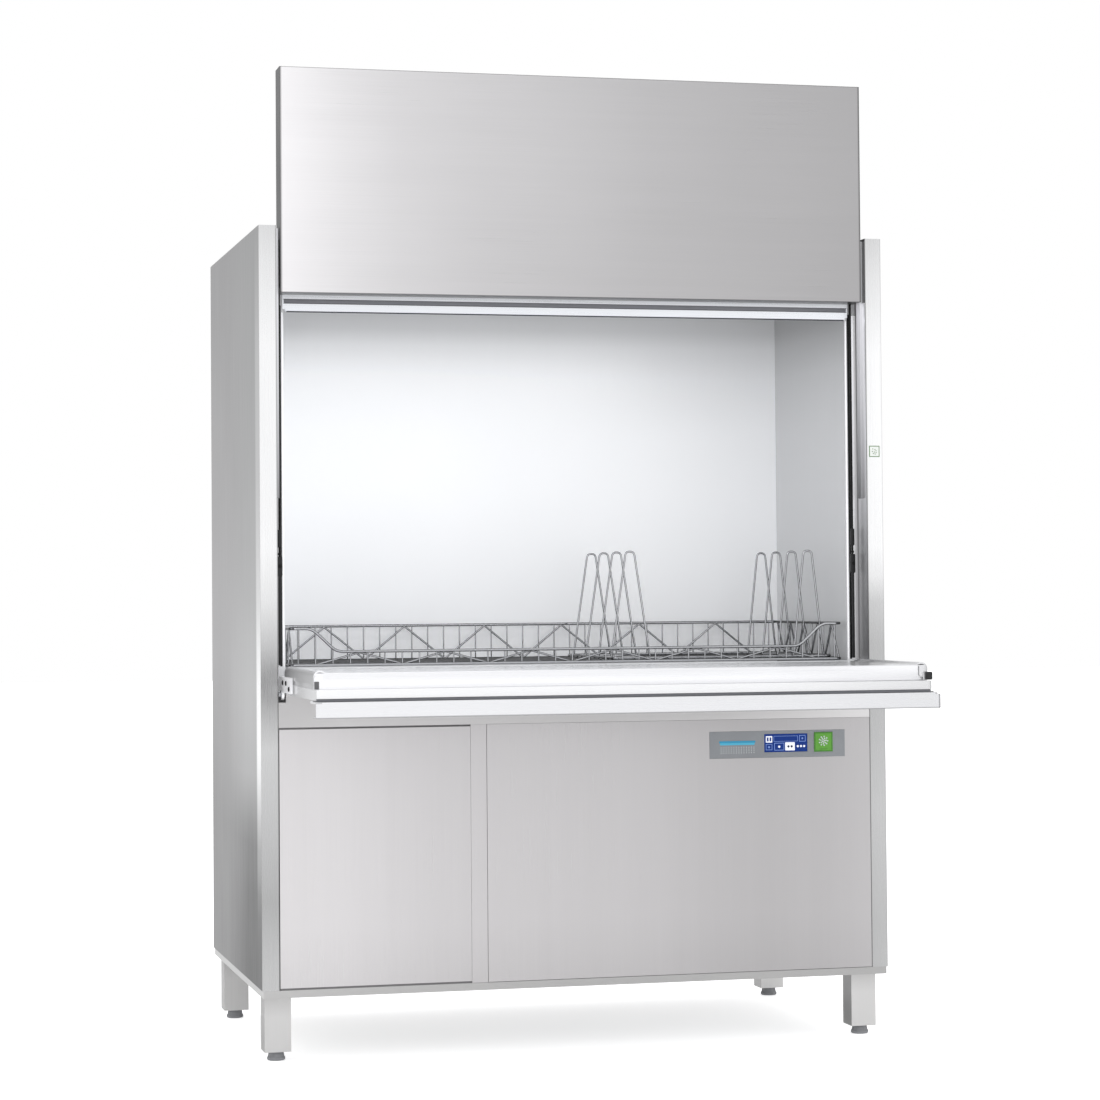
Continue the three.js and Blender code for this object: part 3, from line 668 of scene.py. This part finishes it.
def rack_wires():
    front, back, half, floor = RACK_FRONT, RACK_BACK, RACK_HALF, RACK_FLOOR
    rim = [(-DIP_HALF, front, DIP_HEIGHT), (DIP_HALF, front, DIP_HEIGHT),
           (DIP_END_HALF, front, RACK_TOP), (half, front, RACK_TOP), (half, back, RACK_TOP),
           (-half, back, RACK_TOP), (-half, front, RACK_TOP), (-DIP_END_HALF, front, RACK_TOP)]
    base = [(-half, front, floor), (half, front, floor), (half, back, floor),
            (-half, back, floor)]
    wires = [wire(rim, 3.3, 12, corner=16, closed=True),
             wire(base, 3.2, 12, corner=14, closed=True)]
    # front and back uprights and the floor bars between them
    for x in range(-640, 641, 40):
        y = front + 1.0
        wires.append(wire([(x, y, floor), (x, y, front_rim_height(x))], BAR_RADIUS, 8))
        y = back - 1.0
        wires.append(wire([(x, y, floor), (x, y, RACK_TOP)], UPRIGHT_RADIUS, 6))
        z = floor - 0.6
        wires.append(wire([(x, front, z), (x, back, z)], BAR_RADIUS, 6))
    # floor bars across, with uprights at both sides
    for row in range(11):
        y = front + 40 + 42.0 * row
        z = floor + 2.2
        wires.append(wire([(-half, y, z), (half, y, z)], BAR_RADIUS, 6))
        for _, sign in SIDES:
            x = sign * (half - 1.0)
            wires.append(wire([(x, y, floor), (x, y, RACK_TOP)], UPRIGHT_RADIUS, 6))
    # zigzags inside the front and back, then inside the sides
    for y, high in ((front + ZIGZAG_INSET, DIP_HEIGHT - 2.0), (back - ZIGZAG_INSET, RACK_TOP - 2.0)):
        points = [(-645, y, ZIGZAG_LOW), (-598, y, ZIGZAG_LOW)]
        points += [(x, y, ZIGZAG_LOW if i % 2 else high) for i, x in enumerate(ZIGZAG_X)]
        points.append((645, y, ZIGZAG_LOW))
        wires.append(wire(points, ZIGZAG_RADIUS, 8, corner=5))
    for _, sign in SIDES:
        x = sign * (half - ZIGZAG_INSET)
        points = [(x, front + ZIGZAG_INSET + 51.2 * i, RACK_TOP - 2.5 if i % 2 else ZIGZAG_LOW)
                  for i in range(10)]
        wires.append(wire(points, ZIGZAG_RADIUS, 8, corner=5))
    return wires


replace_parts(wirework("rack_wirework", rack_wires(), "rack_wire_steel", RACK), "wire_rack")

# ---------------------------------------------------------------- tray insert
INSERT_LEFT, INSERT_RIGHT, INSERT_FRONT, INSERT_BACK = 107, 643, 113, 547
INSERT_FLOOR, HAIRPIN_TOP = 891.8, 1141


def insert_wires():
    """A base loop with two bars, and tall hairpins that narrow towards the top."""
    z = INSERT_FLOOR
    loop = [(INSERT_LEFT, INSERT_FRONT, z), (INSERT_RIGHT, INSERT_FRONT, z),
            (INSERT_RIGHT, INSERT_BACK, z), (INSERT_LEFT, INSERT_BACK, z)]
    wires = [wire(loop, 2.8, 10, corner=12, closed=True)]
    for x in (160, 600):
        wires.append(wire([(x, INSERT_FRONT, z), (x, INSERT_BACK, z)], 2.3, 8))
    for left, right in ((110, 210), (560, 640)):
        middle = (left + right) / 2.0
        left_foot, right_foot = left + 3, right - 3
        for y in (152.5, 272.5, 392.5, 512.5):
            hairpin = [(left_foot, y, 892), (middle - 10, y, HAIRPIN_TOP),
                       (middle + 10, y, HAIRPIN_TOP), (right_foot, y, 892)]
            wires.append(wire(hairpin, 2.4, 10, corner=10))
            wires.append(wire([(left_foot, y, z), (right_foot, y, z)], 2.2, 8))
    return wires


insert = wirework("tray_insert_wirework", insert_wires(), "rack_wire_steel", RACK)
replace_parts(insert, "tray_insert")

# ---------------------------------------------------------------- open flap
FLAP = ("flap", "bright_steel")
FLAP_BLACK = ("flap", "black_plastic")
# x, z of the plate that closes the front end of the rolled lip, right side
LIP_END = [(664.0, 878), (664.0, 858.5), (665.5, 855.6), (668, 854.2), (672, 853.6),
           (677, 853.8), (681, 855.4), (683.0, 859), (683.2, 868), (681, 875), (677, 878)]
ARM_SCREWS = ((-24, 850), (-70, 850), (-112, 838))  # y, z


def liner_section():
    """x, z of the liner sheet with its rolled sides, over the top and back underneath."""
    outer = [(640.0, 880.0), (656.0, 880.3), *arc(670, 872, 13.8, 122, 0, 12), (683.8, 857.0)]
    inner = [(682.2, 857.0), (682.2, 868.0), *arc(670, 870.5, 11.8, 0, 112, 8),
             (654.0, 878.2), (640.0, 878.0)]

    def mirrored(points):
        return [(-x, z) for x, z in reversed(points)]

    return mirrored(outer) + outer + inner + mirrored(inner)


def flap_side(side, sign):
    slab(f"flap_liner_side_{side}", (*span(sign, 680.2, 682.0), -403, -12, 846.6, 868),
         "liner_steel", FLAP, 0.5)
    prism(f"flap_lip_end_{side}", [(sign * x, z) for x, z in LIP_END], -412.5, -409.9,
          "liner_steel", FLAP, axis="y")
    # the left roll takes a darker grey, a painted shade; the right one stays liner steel
    slab(f"flap_lip_roll_{side}", (*span(sign, 672.5, 682.6), -414.2, -412.4, 846.4, 862.6),
         "lip_end_shade" if side == "left" else "liner_steel", FLAP, 3.4)
    if side == "right":
        slab("flap_bumper", (676.5, 691.5, -424, -411, 847, 864.5), "black_plastic",
             FLAP_BLACK, 2.5)
    screw = [(0, 0), (5.6, 0), (5.6, 1.2), (4.2, 2.4), (2.2, 2.8), (1.9, 1.8), (0, 1.8)]
    for i, (y, z) in enumerate(ARM_SCREWS):
        lathe(f"flap_arm_screw_{side}_{i}", screw, (sign * 690.1, y, z), (sign, 0, 0),
              "black_screw", FLAP_BLACK, 24)
    washer = [(0, 0), (9.5, 0), (9.5, 1.6), (8.8, 2.0), (0, 2.0)]
    lathe(f"hinge_washer_{side}", washer, (sign * 690.3, 0, 823), (sign, 0, 0), "mill_steel",
          ("flap", "dark_steel"), 28)


liner = prism("flap_liner_skin", liner_section(), -409.5, -6, "liner_steel", FLAP, axis="y")
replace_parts(liner, "flap_liner")
slab("flap_liner_front", (-681.5, 681.5, -410, -404.5, 846.0, 879.8), "liner_steel", FLAP, 1.4)
slab("flap_liner_root", (-681.5, 681.5, -11, -5.4, 846.0, 879.6), "liner_steel", FLAP, 1.4)
for side, sign in SIDES:
    flap_side(side, sign)
# strip along the groove over the handle, its grey a painted shade
prism("handle_groove_shade", [(-438.2, 821.4), (-431.0, 821.4), (-431.0, 826.6),
                               (-438.2, 826.6)], -681, 681, "groove_shade", FLAP)

# ---------------------------------------------------------------- door links
LINK = ("upper_door", "black_plastic")
LINK_Y = 65.5


def door_link(side, sign):
    """Upright link from the flap's sides to the upper door: bar, clevis, neck and rod."""
    x = sign * 682.0
    rod = wirework(f"link_rod_{side}", [wire([(x, LINK_Y, 1185), (x, LINK_Y, 1740)], 3.0, 12)],
                   "black_screw", LINK)
    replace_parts(rod, f"door_link_{side}")
    slab(f"link_clevis_{side}", (*span(sign, 676.6, 688.9), 61.6, 69.4, 1087, 1132),
         "black_plastic", LINK, 2.4)
    slab(f"link_turnbuckle_{side}", (*span(sign, 677.6, 687.4), 61.9, 69.1, 1152, 1192),
         "black_plastic", LINK, 2.2)
    neck = [(0, 0), (2.6, 0), (2.6, 3), (4.2, 3.4), (4.2, 8), (2.6, 8.4), (2.6, 20.6), (0, 20.6)]
    lathe(f"link_neck_{side}", neck, (sign * 682.4, LINK_Y, 1131.6), (0, 0, 1), "black_screw",
          LINK, 18)
    slab(f"link_bar_{side}", (*span(sign, 679.5, 686.0), 62.8, 68.2, 886.5, 1088),
         "black_plastic", LINK, 1.2)
    slab(f"link_bracket_{side}", (*span(sign, 678, 686), 60.4, 68.9, 1728.5, 1769.5),
         "mill_steel", ("upper_door", "dark_steel"), 1.2)
    bolt = [(0, 0), (4.2, 0), (4.2, 0.8), (3.4, 1.3), (0, 1.3)]
    lathe(f"link_bolt_{side}", bolt, (sign * 682.8, 61.6, 1110), (0, -1, 0), "black_screw",
          LINK, 20)


for side, sign in SIDES:
    door_link(side, sign)

# ---------------------------------------------------------------- levelling feet
FOOT_X = 694
THREAD_START, THREAD_PITCH, THREAD_TURNS = 21.5, 2.0, 18
THREAD_RADIUS, THREAD_ROOT = 8.0, 7.3
# radius, height from the floor up to the thread
FOOT_PAD = [(0, 0), (17.5, 0), (19.6, 0.8), (20.5, 2.6), (20.5, 6.4), (19.8, 7.6), (19.0, 8.0),
            (18.6, 9.0), (17.2, 16.6), (16.6, 17.0), (16.2, 18.6), (15.4, 19.9),
            (THREAD_RADIUS, 20.0), (THREAD_RADIUS, THREAD_START)]


def foot_profile():
    profile = list(FOOT_PAD)
    for turn in range(THREAD_TURNS):
        z = THREAD_START + THREAD_PITCH * turn
        profile += [(THREAD_RADIUS, z + 0.5), (THREAD_ROOT, z + 1.1), (THREAD_RADIUS, z + 1.7)]
    return profile + [(7.6, 57.6), (0, 58)]


for end, y in (("front", 83), ("rear", 775)):
    for side, sign in SIDES:
        foot = f"foot_{end}_{side}"
        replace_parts(lathe("levelling_" + foot, foot_profile(), (sign * FOOT_X, y, 0), (0, 0, 1),
                          "foot_rubber", (foot, "foot_rubber"), 40), foot)


# ---------------------------------------------------------------- panel art builders
# Art lies on the plane y and stands out from it by its thickness.
def flat(name, area, material, mount, y, thickness=0.35, radius=0.6):
    """A filled area (x0, x1, z0, z1) with rounded corners."""
    x0, x1, z0, z1 = area
    radius = min(radius, (x1 - x0) * 0.3, (z1 - z0) * 0.3)
    slab(name, (x0, x1, y - thickness, y, z0, z1), material, mount, radius, 2, along="y")


def dots(name, centres, radius, material, mount, y, thickness=0.35, steps=14):
    verts, faces = [], []
    for x, z in centres:
        back = len(verts)
        front = back + steps
        for depth in (y, y - thickness):
            verts += [at(u, depth, v) for u, v in ring(x, z, radius, steps)]
        for k in range(steps):
            k2 = (k + 1) % steps
            faces.append((back + k, back + k2, front + k2, front + k))
        faces.append(tuple(range(back, front)))
        faces.append(tuple(reversed(range(front, front + steps))))
    piece(name, verts, faces, material, mount, sharp=40)


def outline(name, area, width, material, mount, y, thickness=0.3):
    """A rectangular frame of the given line width inside an area (x0, x1, z0, z1)."""
    x0, x1, z0, z1 = area
    w = width
    corners = [(x0, z0), (x1, z0), (x1, z1), (x0, z1),
               (x0 + w, z0 + w), (x1 - w, z0 + w), (x1 - w, z1 - w), (x0 + w, z1 - w)]
    verts = [at(u, depth, v) for depth in (y, y - thickness) for u, v in corners]
    faces = []
    for k in range(4):
        j = (k + 1) % 4
        faces += [(k, j, 4 + j, 4 + k), (8 + k, 12 + k, 12 + j, 8 + j),
                  (k, 8 + k, 8 + j, j), (4 + k, 4 + j, 12 + j, 12 + k)]
    piece(name, verts, faces, material, mount)


# ---------------------------------------------------------------- control panel art
PANEL = dict(mount=("cabinet", "grey_trim"), y=-0.85)
DISPLAY = dict(mount=("cabinet", "display_blue"), y=-0.45)
DISPLAY_UPPER = dict(DISPLAY, y=-0.85, thickness=0.2)  # marks on top of filled keys

flat("panel_stripe_upper", (328, 416, 694.2, 698.8), "stripe_cyan", radius=2.0, **PANEL)
flat("panel_stripe_lower", (330, 414, 689.2, 694.1), "stripe_cyan_light", radius=2.0, **PANEL)
dot_grid = [(333 + 6.1 * column, 684 - 4.3 * row) for column in range(14) for row in range(4)]
dots("panel_dot_grid", dot_grid, 1.05, "pale_grey", **PANEL)

flat("display_key_menu", (441.5, 457, 693.5, 708.5), "icon_white", **DISPLAY)
flat("display_key_menu_bar_a", (444, 448, 696.5, 705.5), "display_blue", **DISPLAY_UPPER)
flat("display_key_menu_bar_b", (450.5, 454.5, 696.5, 705.5), "display_blue", **DISPLAY_UPPER)
outline("display_key_info", (441.5, 457, 676, 690), 1.2, "icon_line", **DISPLAY)
dots("display_key_info_dot", [(449.2, 683)], 2.6, "icon_line", **DISPLAY)
outline("display_status_box", (460.5, 519.5, 695.5, 708.5), 0.9, "icon_line", **DISPLAY)
outline("display_key_state", (523, 538.5, 694.5, 709.5), 1.3, "icon_line", **DISPLAY)
dots("display_key_state_dot", [(530.8, 702)], 2.2, "icon_line", **DISPLAY)
outline("display_key_one", (462, 486, 675, 692.5), 1.3, "icon_line", **DISPLAY)
dots("display_one_dot", [(474, 683.6)], 2.7, "icon_white", **DISPLAY)
flat("display_key_two", (488.5, 512, 674.5, 693.5), "icon_white", radius=1.2, **DISPLAY)
dots("display_two_dots", [(496.4, 683.8), (504.4, 683.8)], 2.7, "icon_dark", **DISPLAY_UPPER)
dots("display_three_dots", [(519.4, 684), (527.2, 684), (535, 684)], 2.6, "icon_white",
     **DISPLAY)

# start button: raised rim, three rings of dots and a line below them
BUTTON = dict(mount=("start_button", "button_green"), y=-2.05)
BUTTON_X, BUTTON_Z = 582.0, 695.0
BUTTON_RINGS = ((10.4, 9, 0.0), (6.6, 7, 0.2), (2.9, 4, 0.4))  # radius, dots, phase
outline("start_button_rim", (559.9, 604.1, 670.9, 715.1), 2.6, "button_green_edge",
        thickness=0.25, **BUTTON)
button_dots = [p for circle in BUTTON_RINGS for p in ring(BUTTON_X, BUTTON_Z, *circle)]
dots("start_button_dots", button_dots, 1.75, "pale_grey", thickness=0.3, steps=12, **BUTTON)
flat("start_button_line", (572, 592, 675.8, 677.0), "button_green_edge", thickness=0.25,
     **BUTTON)

# small label on the right column
LABEL = ("cabinet", "button_green")
LABEL_DOTS = [(712.2, 1377.5), (717.6, 1376.0), (720.4, 1373.4), (711.4, 1371.6),
              (716.2, 1370.2), (720.6, 1369.0), (713.6, 1366.6), (717.8, 1365.6)]
outline("column_label_frame", (703.2, 728.8, 1358.6, 1385), 1.9, "label_line", LABEL, y=-0.1,
        thickness=0.35)
flat("column_label_ground", (705.0, 727.0, 1360.4, 1383.2), "label_ground", LABEL, y=-0.1,
     thickness=0.25)
dots("column_label_dots", LABEL_DOTS, 1.25, "label_line", LABEL, y=-0.4, thickness=0.2, steps=10)

# ---------------------------------------------------------------- gaps and grooves with painted shade, and door jambs
CABINET_PANEL = ("cabinet", "brushed_panel")
CABINET_BRIGHT = ("cabinet", "bright_steel")
CABINET_BLACK = ("cabinet", "black_plastic")
CABINET_DARK = ("cabinet", "dark_steel")

# grey strips filling the gaps above and below the service door: painted shade
for end, z0, z1 in (("top", 744.6, 749.2), ("bottom", 164.6, 169.5)):
    slab("service_gap_" + end, (-695.2, -260.3, 3.0, 3.8, z0, z1), "gap_shade",
         CABINET_PANEL, 0.2)
# strip in the header's groove, its grey a painted shade
slab("header_groove_strip", (-671, 671, 61.1, 61.9, 1704.3, 1713.7), "groove_shade",
     CABINET_BRIGHT, 0.3)
# dark lines along the header groove's edges and the header's lower edge: painted shade
for i, (z, height, half) in enumerate(((1713.2, 0.9, 672), (1703.4, 0.9, 672),
                                       (1683.9, 2.8, 665))):
    slab(f"header_edge_line_{i}", (-half, half, 60.0, 60.7, z, z + height), "edge_shade_line",
         CABINET_BRIGHT, 0.2)

JAMB_BOTTOM = 884
# part, inner and outer x, front and back y, top z, material, mount, edge radius
JAMB_PARTS = [
    ("line", 672.6, 674.6, 71.6, 73.0, 1684, "jamb_line_steel", CABINET_BRIGHT, 0.4),
    ("seal", 676.2, 681.2, 71.0, 73.0, 1700, "black_plastic", CABINET_BLACK, 0.6),
    ("strip", 682.6, 696.9, 69.8, 70.7, 1697, "jamb_strip_steel", CABINET_BRIGHT, 0.25),
    ("return", 696.1, 696.8, 1.5, 57.5, 1722, "jamb_return_steel", CABINET_BRIGHT, 0.25),
]
for side, sign in SIDES:
    for part, inner, outer, front, back, top, material, mount, radius in JAMB_PARTS:
        slab(f"jamb_{part}_{side}", (*span(sign, inner, outer), front, back, JAMB_BOTTOM, top),
             material, mount, radius)

# ---------------------------------------------------------------- rear panel
REAR_Y = 855.1
REAR_SCREW = [(0, 0), (6.0, 0), (6.0, 0.9), (4.6, 2.4), (2.2, 3.0), (2.0, 1.8), (0, 1.8)]
LOUVRE = [(855.05, 0), (859.5, 2), (861.5, 6), (859.0, 10), (855.05, 14)]  # y, z rise
LOUVRE_HALF, LOUVRE_START, LOUVRE_PITCH = 90, 330, 26

screw_places = [(x, z) for x in (-640, -320, 0, 320, 640) for z in (200, 620, 1040, 1460, 1840)]
for i, (x, z) in enumerate(screw_places):
    lathe(f"rear_screw_{i:02d}", REAR_SCREW, (x, REAR_Y, z), (0, 1, 0), "mill_steel",
          CABINET_DARK, 20)
for row in range(9):
    louvre = [(y, LOUVRE_START + LOUVRE_PITCH * row + rise) for y, rise in LOUVRE]
    for column, x in enumerate((-420, 420)):
        prism(f"rear_louvre_{column}_{row}", louvre, x - LOUVRE_HALF, x + LOUVRE_HALF,
              "side_steel", CABINET_PANEL)
for i, (x, r) in enumerate(((150, 24), (600, 16))):
    port = [(0, 0), (r, 0), (r, 3), (r - 3, 4), (r - 3, 10), (r - 6, 10), (r - 6, 2), (0, 2)]
    lathe(f"rear_port_{i}", port, (x, REAR_Y, 262), (0, 1, 0), "mill_steel", CABINET_DARK, 28)

# ---------------------------------------------------------------- wash arm jets and hub caps
ARM_X, ARM_Y = 335, 335
JET_PITCH, JET_HALF_LENGTH, JET_HALF_WIDTH = 43, 7, 2.6
JET_BASE, JET_TOP = 0.05, 0.95  # heights above the arm's face
HUB_CAP = [(0, 0), (17, 0), (17, 2.6), (13, 5.2), (4, 6.6), (0, 6.8)]


def arm_jets(name, arm_x, face_z, up, mount):
    """Ten low blocks along the arm, five each side of the hub."""
    verts, faces = [], []
    for step in (-5, -4, -3, -2, -1, 1, 2, 3, 4, 5):
        x = arm_x + step * JET_PITCH
        b = len(verts)
        for height in (JET_BASE, JET_TOP):
            for u, v in ((-1, -1), (1, -1), (1, 1), (-1, 1)):
                verts.append(at(x + u * JET_HALF_LENGTH, ARM_Y + v * JET_HALF_WIDTH,
                                face_z + up * height))
        faces += [(b, b + 1, b + 2, b + 3), (b + 4, b + 7, b + 6, b + 5)]
        for k in range(4):
            k2 = (k + 1) % 4
            faces.append((b + k, b + 4 + k, b + 4 + k2, b + k2))
    piece(name, verts, faces, "door_seal", mount)


# level, z of the jet face, z of the cap, jet direction
for level, face_z, cap_z, up in (("upper", 1730, 1723.9, -1), ("lower", 859, 863.1, 1)):
    for side, sign in SIDES:
        mount = (f"{level}_arm_{side}", "black_plastic")
        arm_jets(f"{level}_arm_jets_{side}", sign * ARM_X, face_z, up, mount)
        lathe(f"{level}_arm_cap_{side}", HUB_CAP, (sign * ARM_X, ARM_Y, cap_z), (0, 0, up),
              "black_plastic", mount, 28)

# ---------------------------------------------------------------- world
scene = bpy.context.scene
scene.view_settings.view_transform = "Standard"
scene.view_settings.look = "None"
scene.view_settings.exposure = 0.0

STUDIO_STRENGTH = (0.90, 0.90)  # light from the left and from the right
STUDIO_COLOUR = (0.985, 0.99, 1.0, 1)


def build_world():
    """An even studio light; the camera itself sees plain white."""
    world = bpy.data.worlds.new("studio")
    scene.world = world
    world.use_nodes = True
    nodes, link = world.node_tree.nodes, world.node_tree.links.new
    nodes.clear()
    output = nodes.new("ShaderNodeOutputWorld")
    mix = nodes.new("ShaderNodeMixShader")
    light_path = nodes.new("ShaderNodeLightPath")
    backdrop = nodes.new("ShaderNodeBackground")
    backdrop.inputs["Color"].default_value = (1, 1, 1, 1)
    backdrop.inputs["Strength"].default_value = 1.0
    studio = nodes.new("ShaderNodeBackground")
    studio.inputs["Color"].default_value = STUDIO_COLOUR
    coords = nodes.new("ShaderNodeTexCoord")
    split = nodes.new("ShaderNodeSeparateXYZ")
    strength = nodes.new("ShaderNodeMapRange")
    strength.inputs["From Min"].default_value = -1.0
    strength.inputs["From Max"].default_value = 1.0
    strength.inputs["To Min"].default_value = STUDIO_STRENGTH[0]
    strength.inputs["To Max"].default_value = STUDIO_STRENGTH[1]
    link(coords.outputs["Generated"], split.inputs[0])
    link(split.outputs[0], strength.inputs["Value"])
    link(strength.outputs["Result"], studio.inputs["Strength"])
    link(light_path.outputs["Is Camera Ray"], mix.inputs[0])
    link(studio.outputs[0], mix.inputs[1])
    link(backdrop.outputs[0], mix.inputs[2])
    link(mix.outputs[0], output.inputs[0])


build_world()

# ---------------------------------------------------------------- area lights
# name, place, target, width and height in metres, watts
LIGHTS = [
    ("key_left", (-2.6, -3.6, 3.2), (0, 0, 1.2), 2.2, 2.2, 16),
    ("fill_right", (3.2, -3.0, 1.8), (0, 0, 1.1), 2.0, 2.0, 6),
    ("top_soft", (0, -0.6, 4.2), (0, 0, 1.0), 3.0, 2.0, 8),
    ("chamber_glow", at(-120, 125, 1660), at(-120, 420, 1050), 1.1, 0.06, 1.0),
]
for name, place, target, width, height, watts in LIGHTS:
    light = bpy.data.lights.new(name, "AREA")
    light.shape = "RECTANGLE"
    light.size, light.size_y = width, height
    light.energy = watts
    lamp = bpy.data.objects.new(name, light)
    scene.collection.objects.link(lamp)
    lamp.location = place
    aim = Vector(target) - Vector(place)
    lamp.rotation_euler = aim.to_track_quat("-Z", "Y").to_euler()
    lamp.visible_camera = False

# ---------------------------------------------------------------- floor
FLOOR_HALF, FLOOR_DROP = 30.0, 0.0006  # metres


def floor_look():
    """Pale and rough, glowing more strongly for the camera than for the light it gives."""
    shader = Shader("floor_pale")
    noise = shader.noise((1, 1, 1), scale=3.0, roughness=0.5)
    shader.set("Base Color", shader.mix("MIX", colour(247, 247, 247), colour(251, 251, 251)))
    shader.set("Roughness", shader.remap(noise, (0.6, 0.75)))
    shader.set("Specular IOR Level", 0.1)
    shader.set("Emission Color", (1, 1, 1, 1))
    camera_ray = shader.add("ShaderNodeLightPath").outputs["Is Camera Ray"]
    shader.set("Emission Strength", shader.remap(camera_ray, (0.20, 0.68)))


floor_look()
floor_mesh = bpy.data.meshes.new("floor_plane")
floor_corners = [(u * FLOOR_HALF, v * FLOOR_HALF, 0) for u, v in ((-1, -1), (1, -1), (1, 1), (-1, 1))]
floor_mesh.from_pydata(floor_corners, [], [(0, 1, 2, 3)])
floor_mesh.materials.append(LOOKS["floor_pale"])
floor = bpy.data.objects.new("floor_plane", floor_mesh)
scene.collection.objects.link(floor)
floor.location.z = -FLOOR_DROP

# ---------------------------------------------------------------- camera
CAMERA_PLACE = Vector((-1.6609, -6.6708, 1.0399))
YAW, PITCH, ROLL = 0.2439, 0.0264, -0.0079  # radians: towards +x, upwards, about the view

heading = Vector((math.sin(YAW), math.cos(YAW), 0))
level_right = Vector((math.cos(YAW), -math.sin(YAW), 0))
vertical = Vector((0, 0, 1))
view = heading * math.cos(PITCH) + vertical * math.sin(PITCH)
level_up = vertical * math.cos(PITCH) - heading * math.sin(PITCH)
right = level_right * math.cos(ROLL) + level_up * math.sin(ROLL)
up = level_up * math.cos(ROLL) - level_right * math.sin(ROLL)

camera_data = bpy.data.cameras.new("camera")
camera = bpy.data.objects.new("camera", camera_data)
scene.collection.objects.link(camera)
columns = zip(right, up, -view, CAMERA_PLACE)
camera.matrix_world = Matrix((*columns, (0, 0, 0, 1)))
camera_data.sensor_width = 36.0
camera_data.lens = 95.62352727
camera_data.shift_x = -0.00853636364
camera_data.shift_y = -0.02915454545
camera_data.clip_end = 200.0
scene.camera = camera
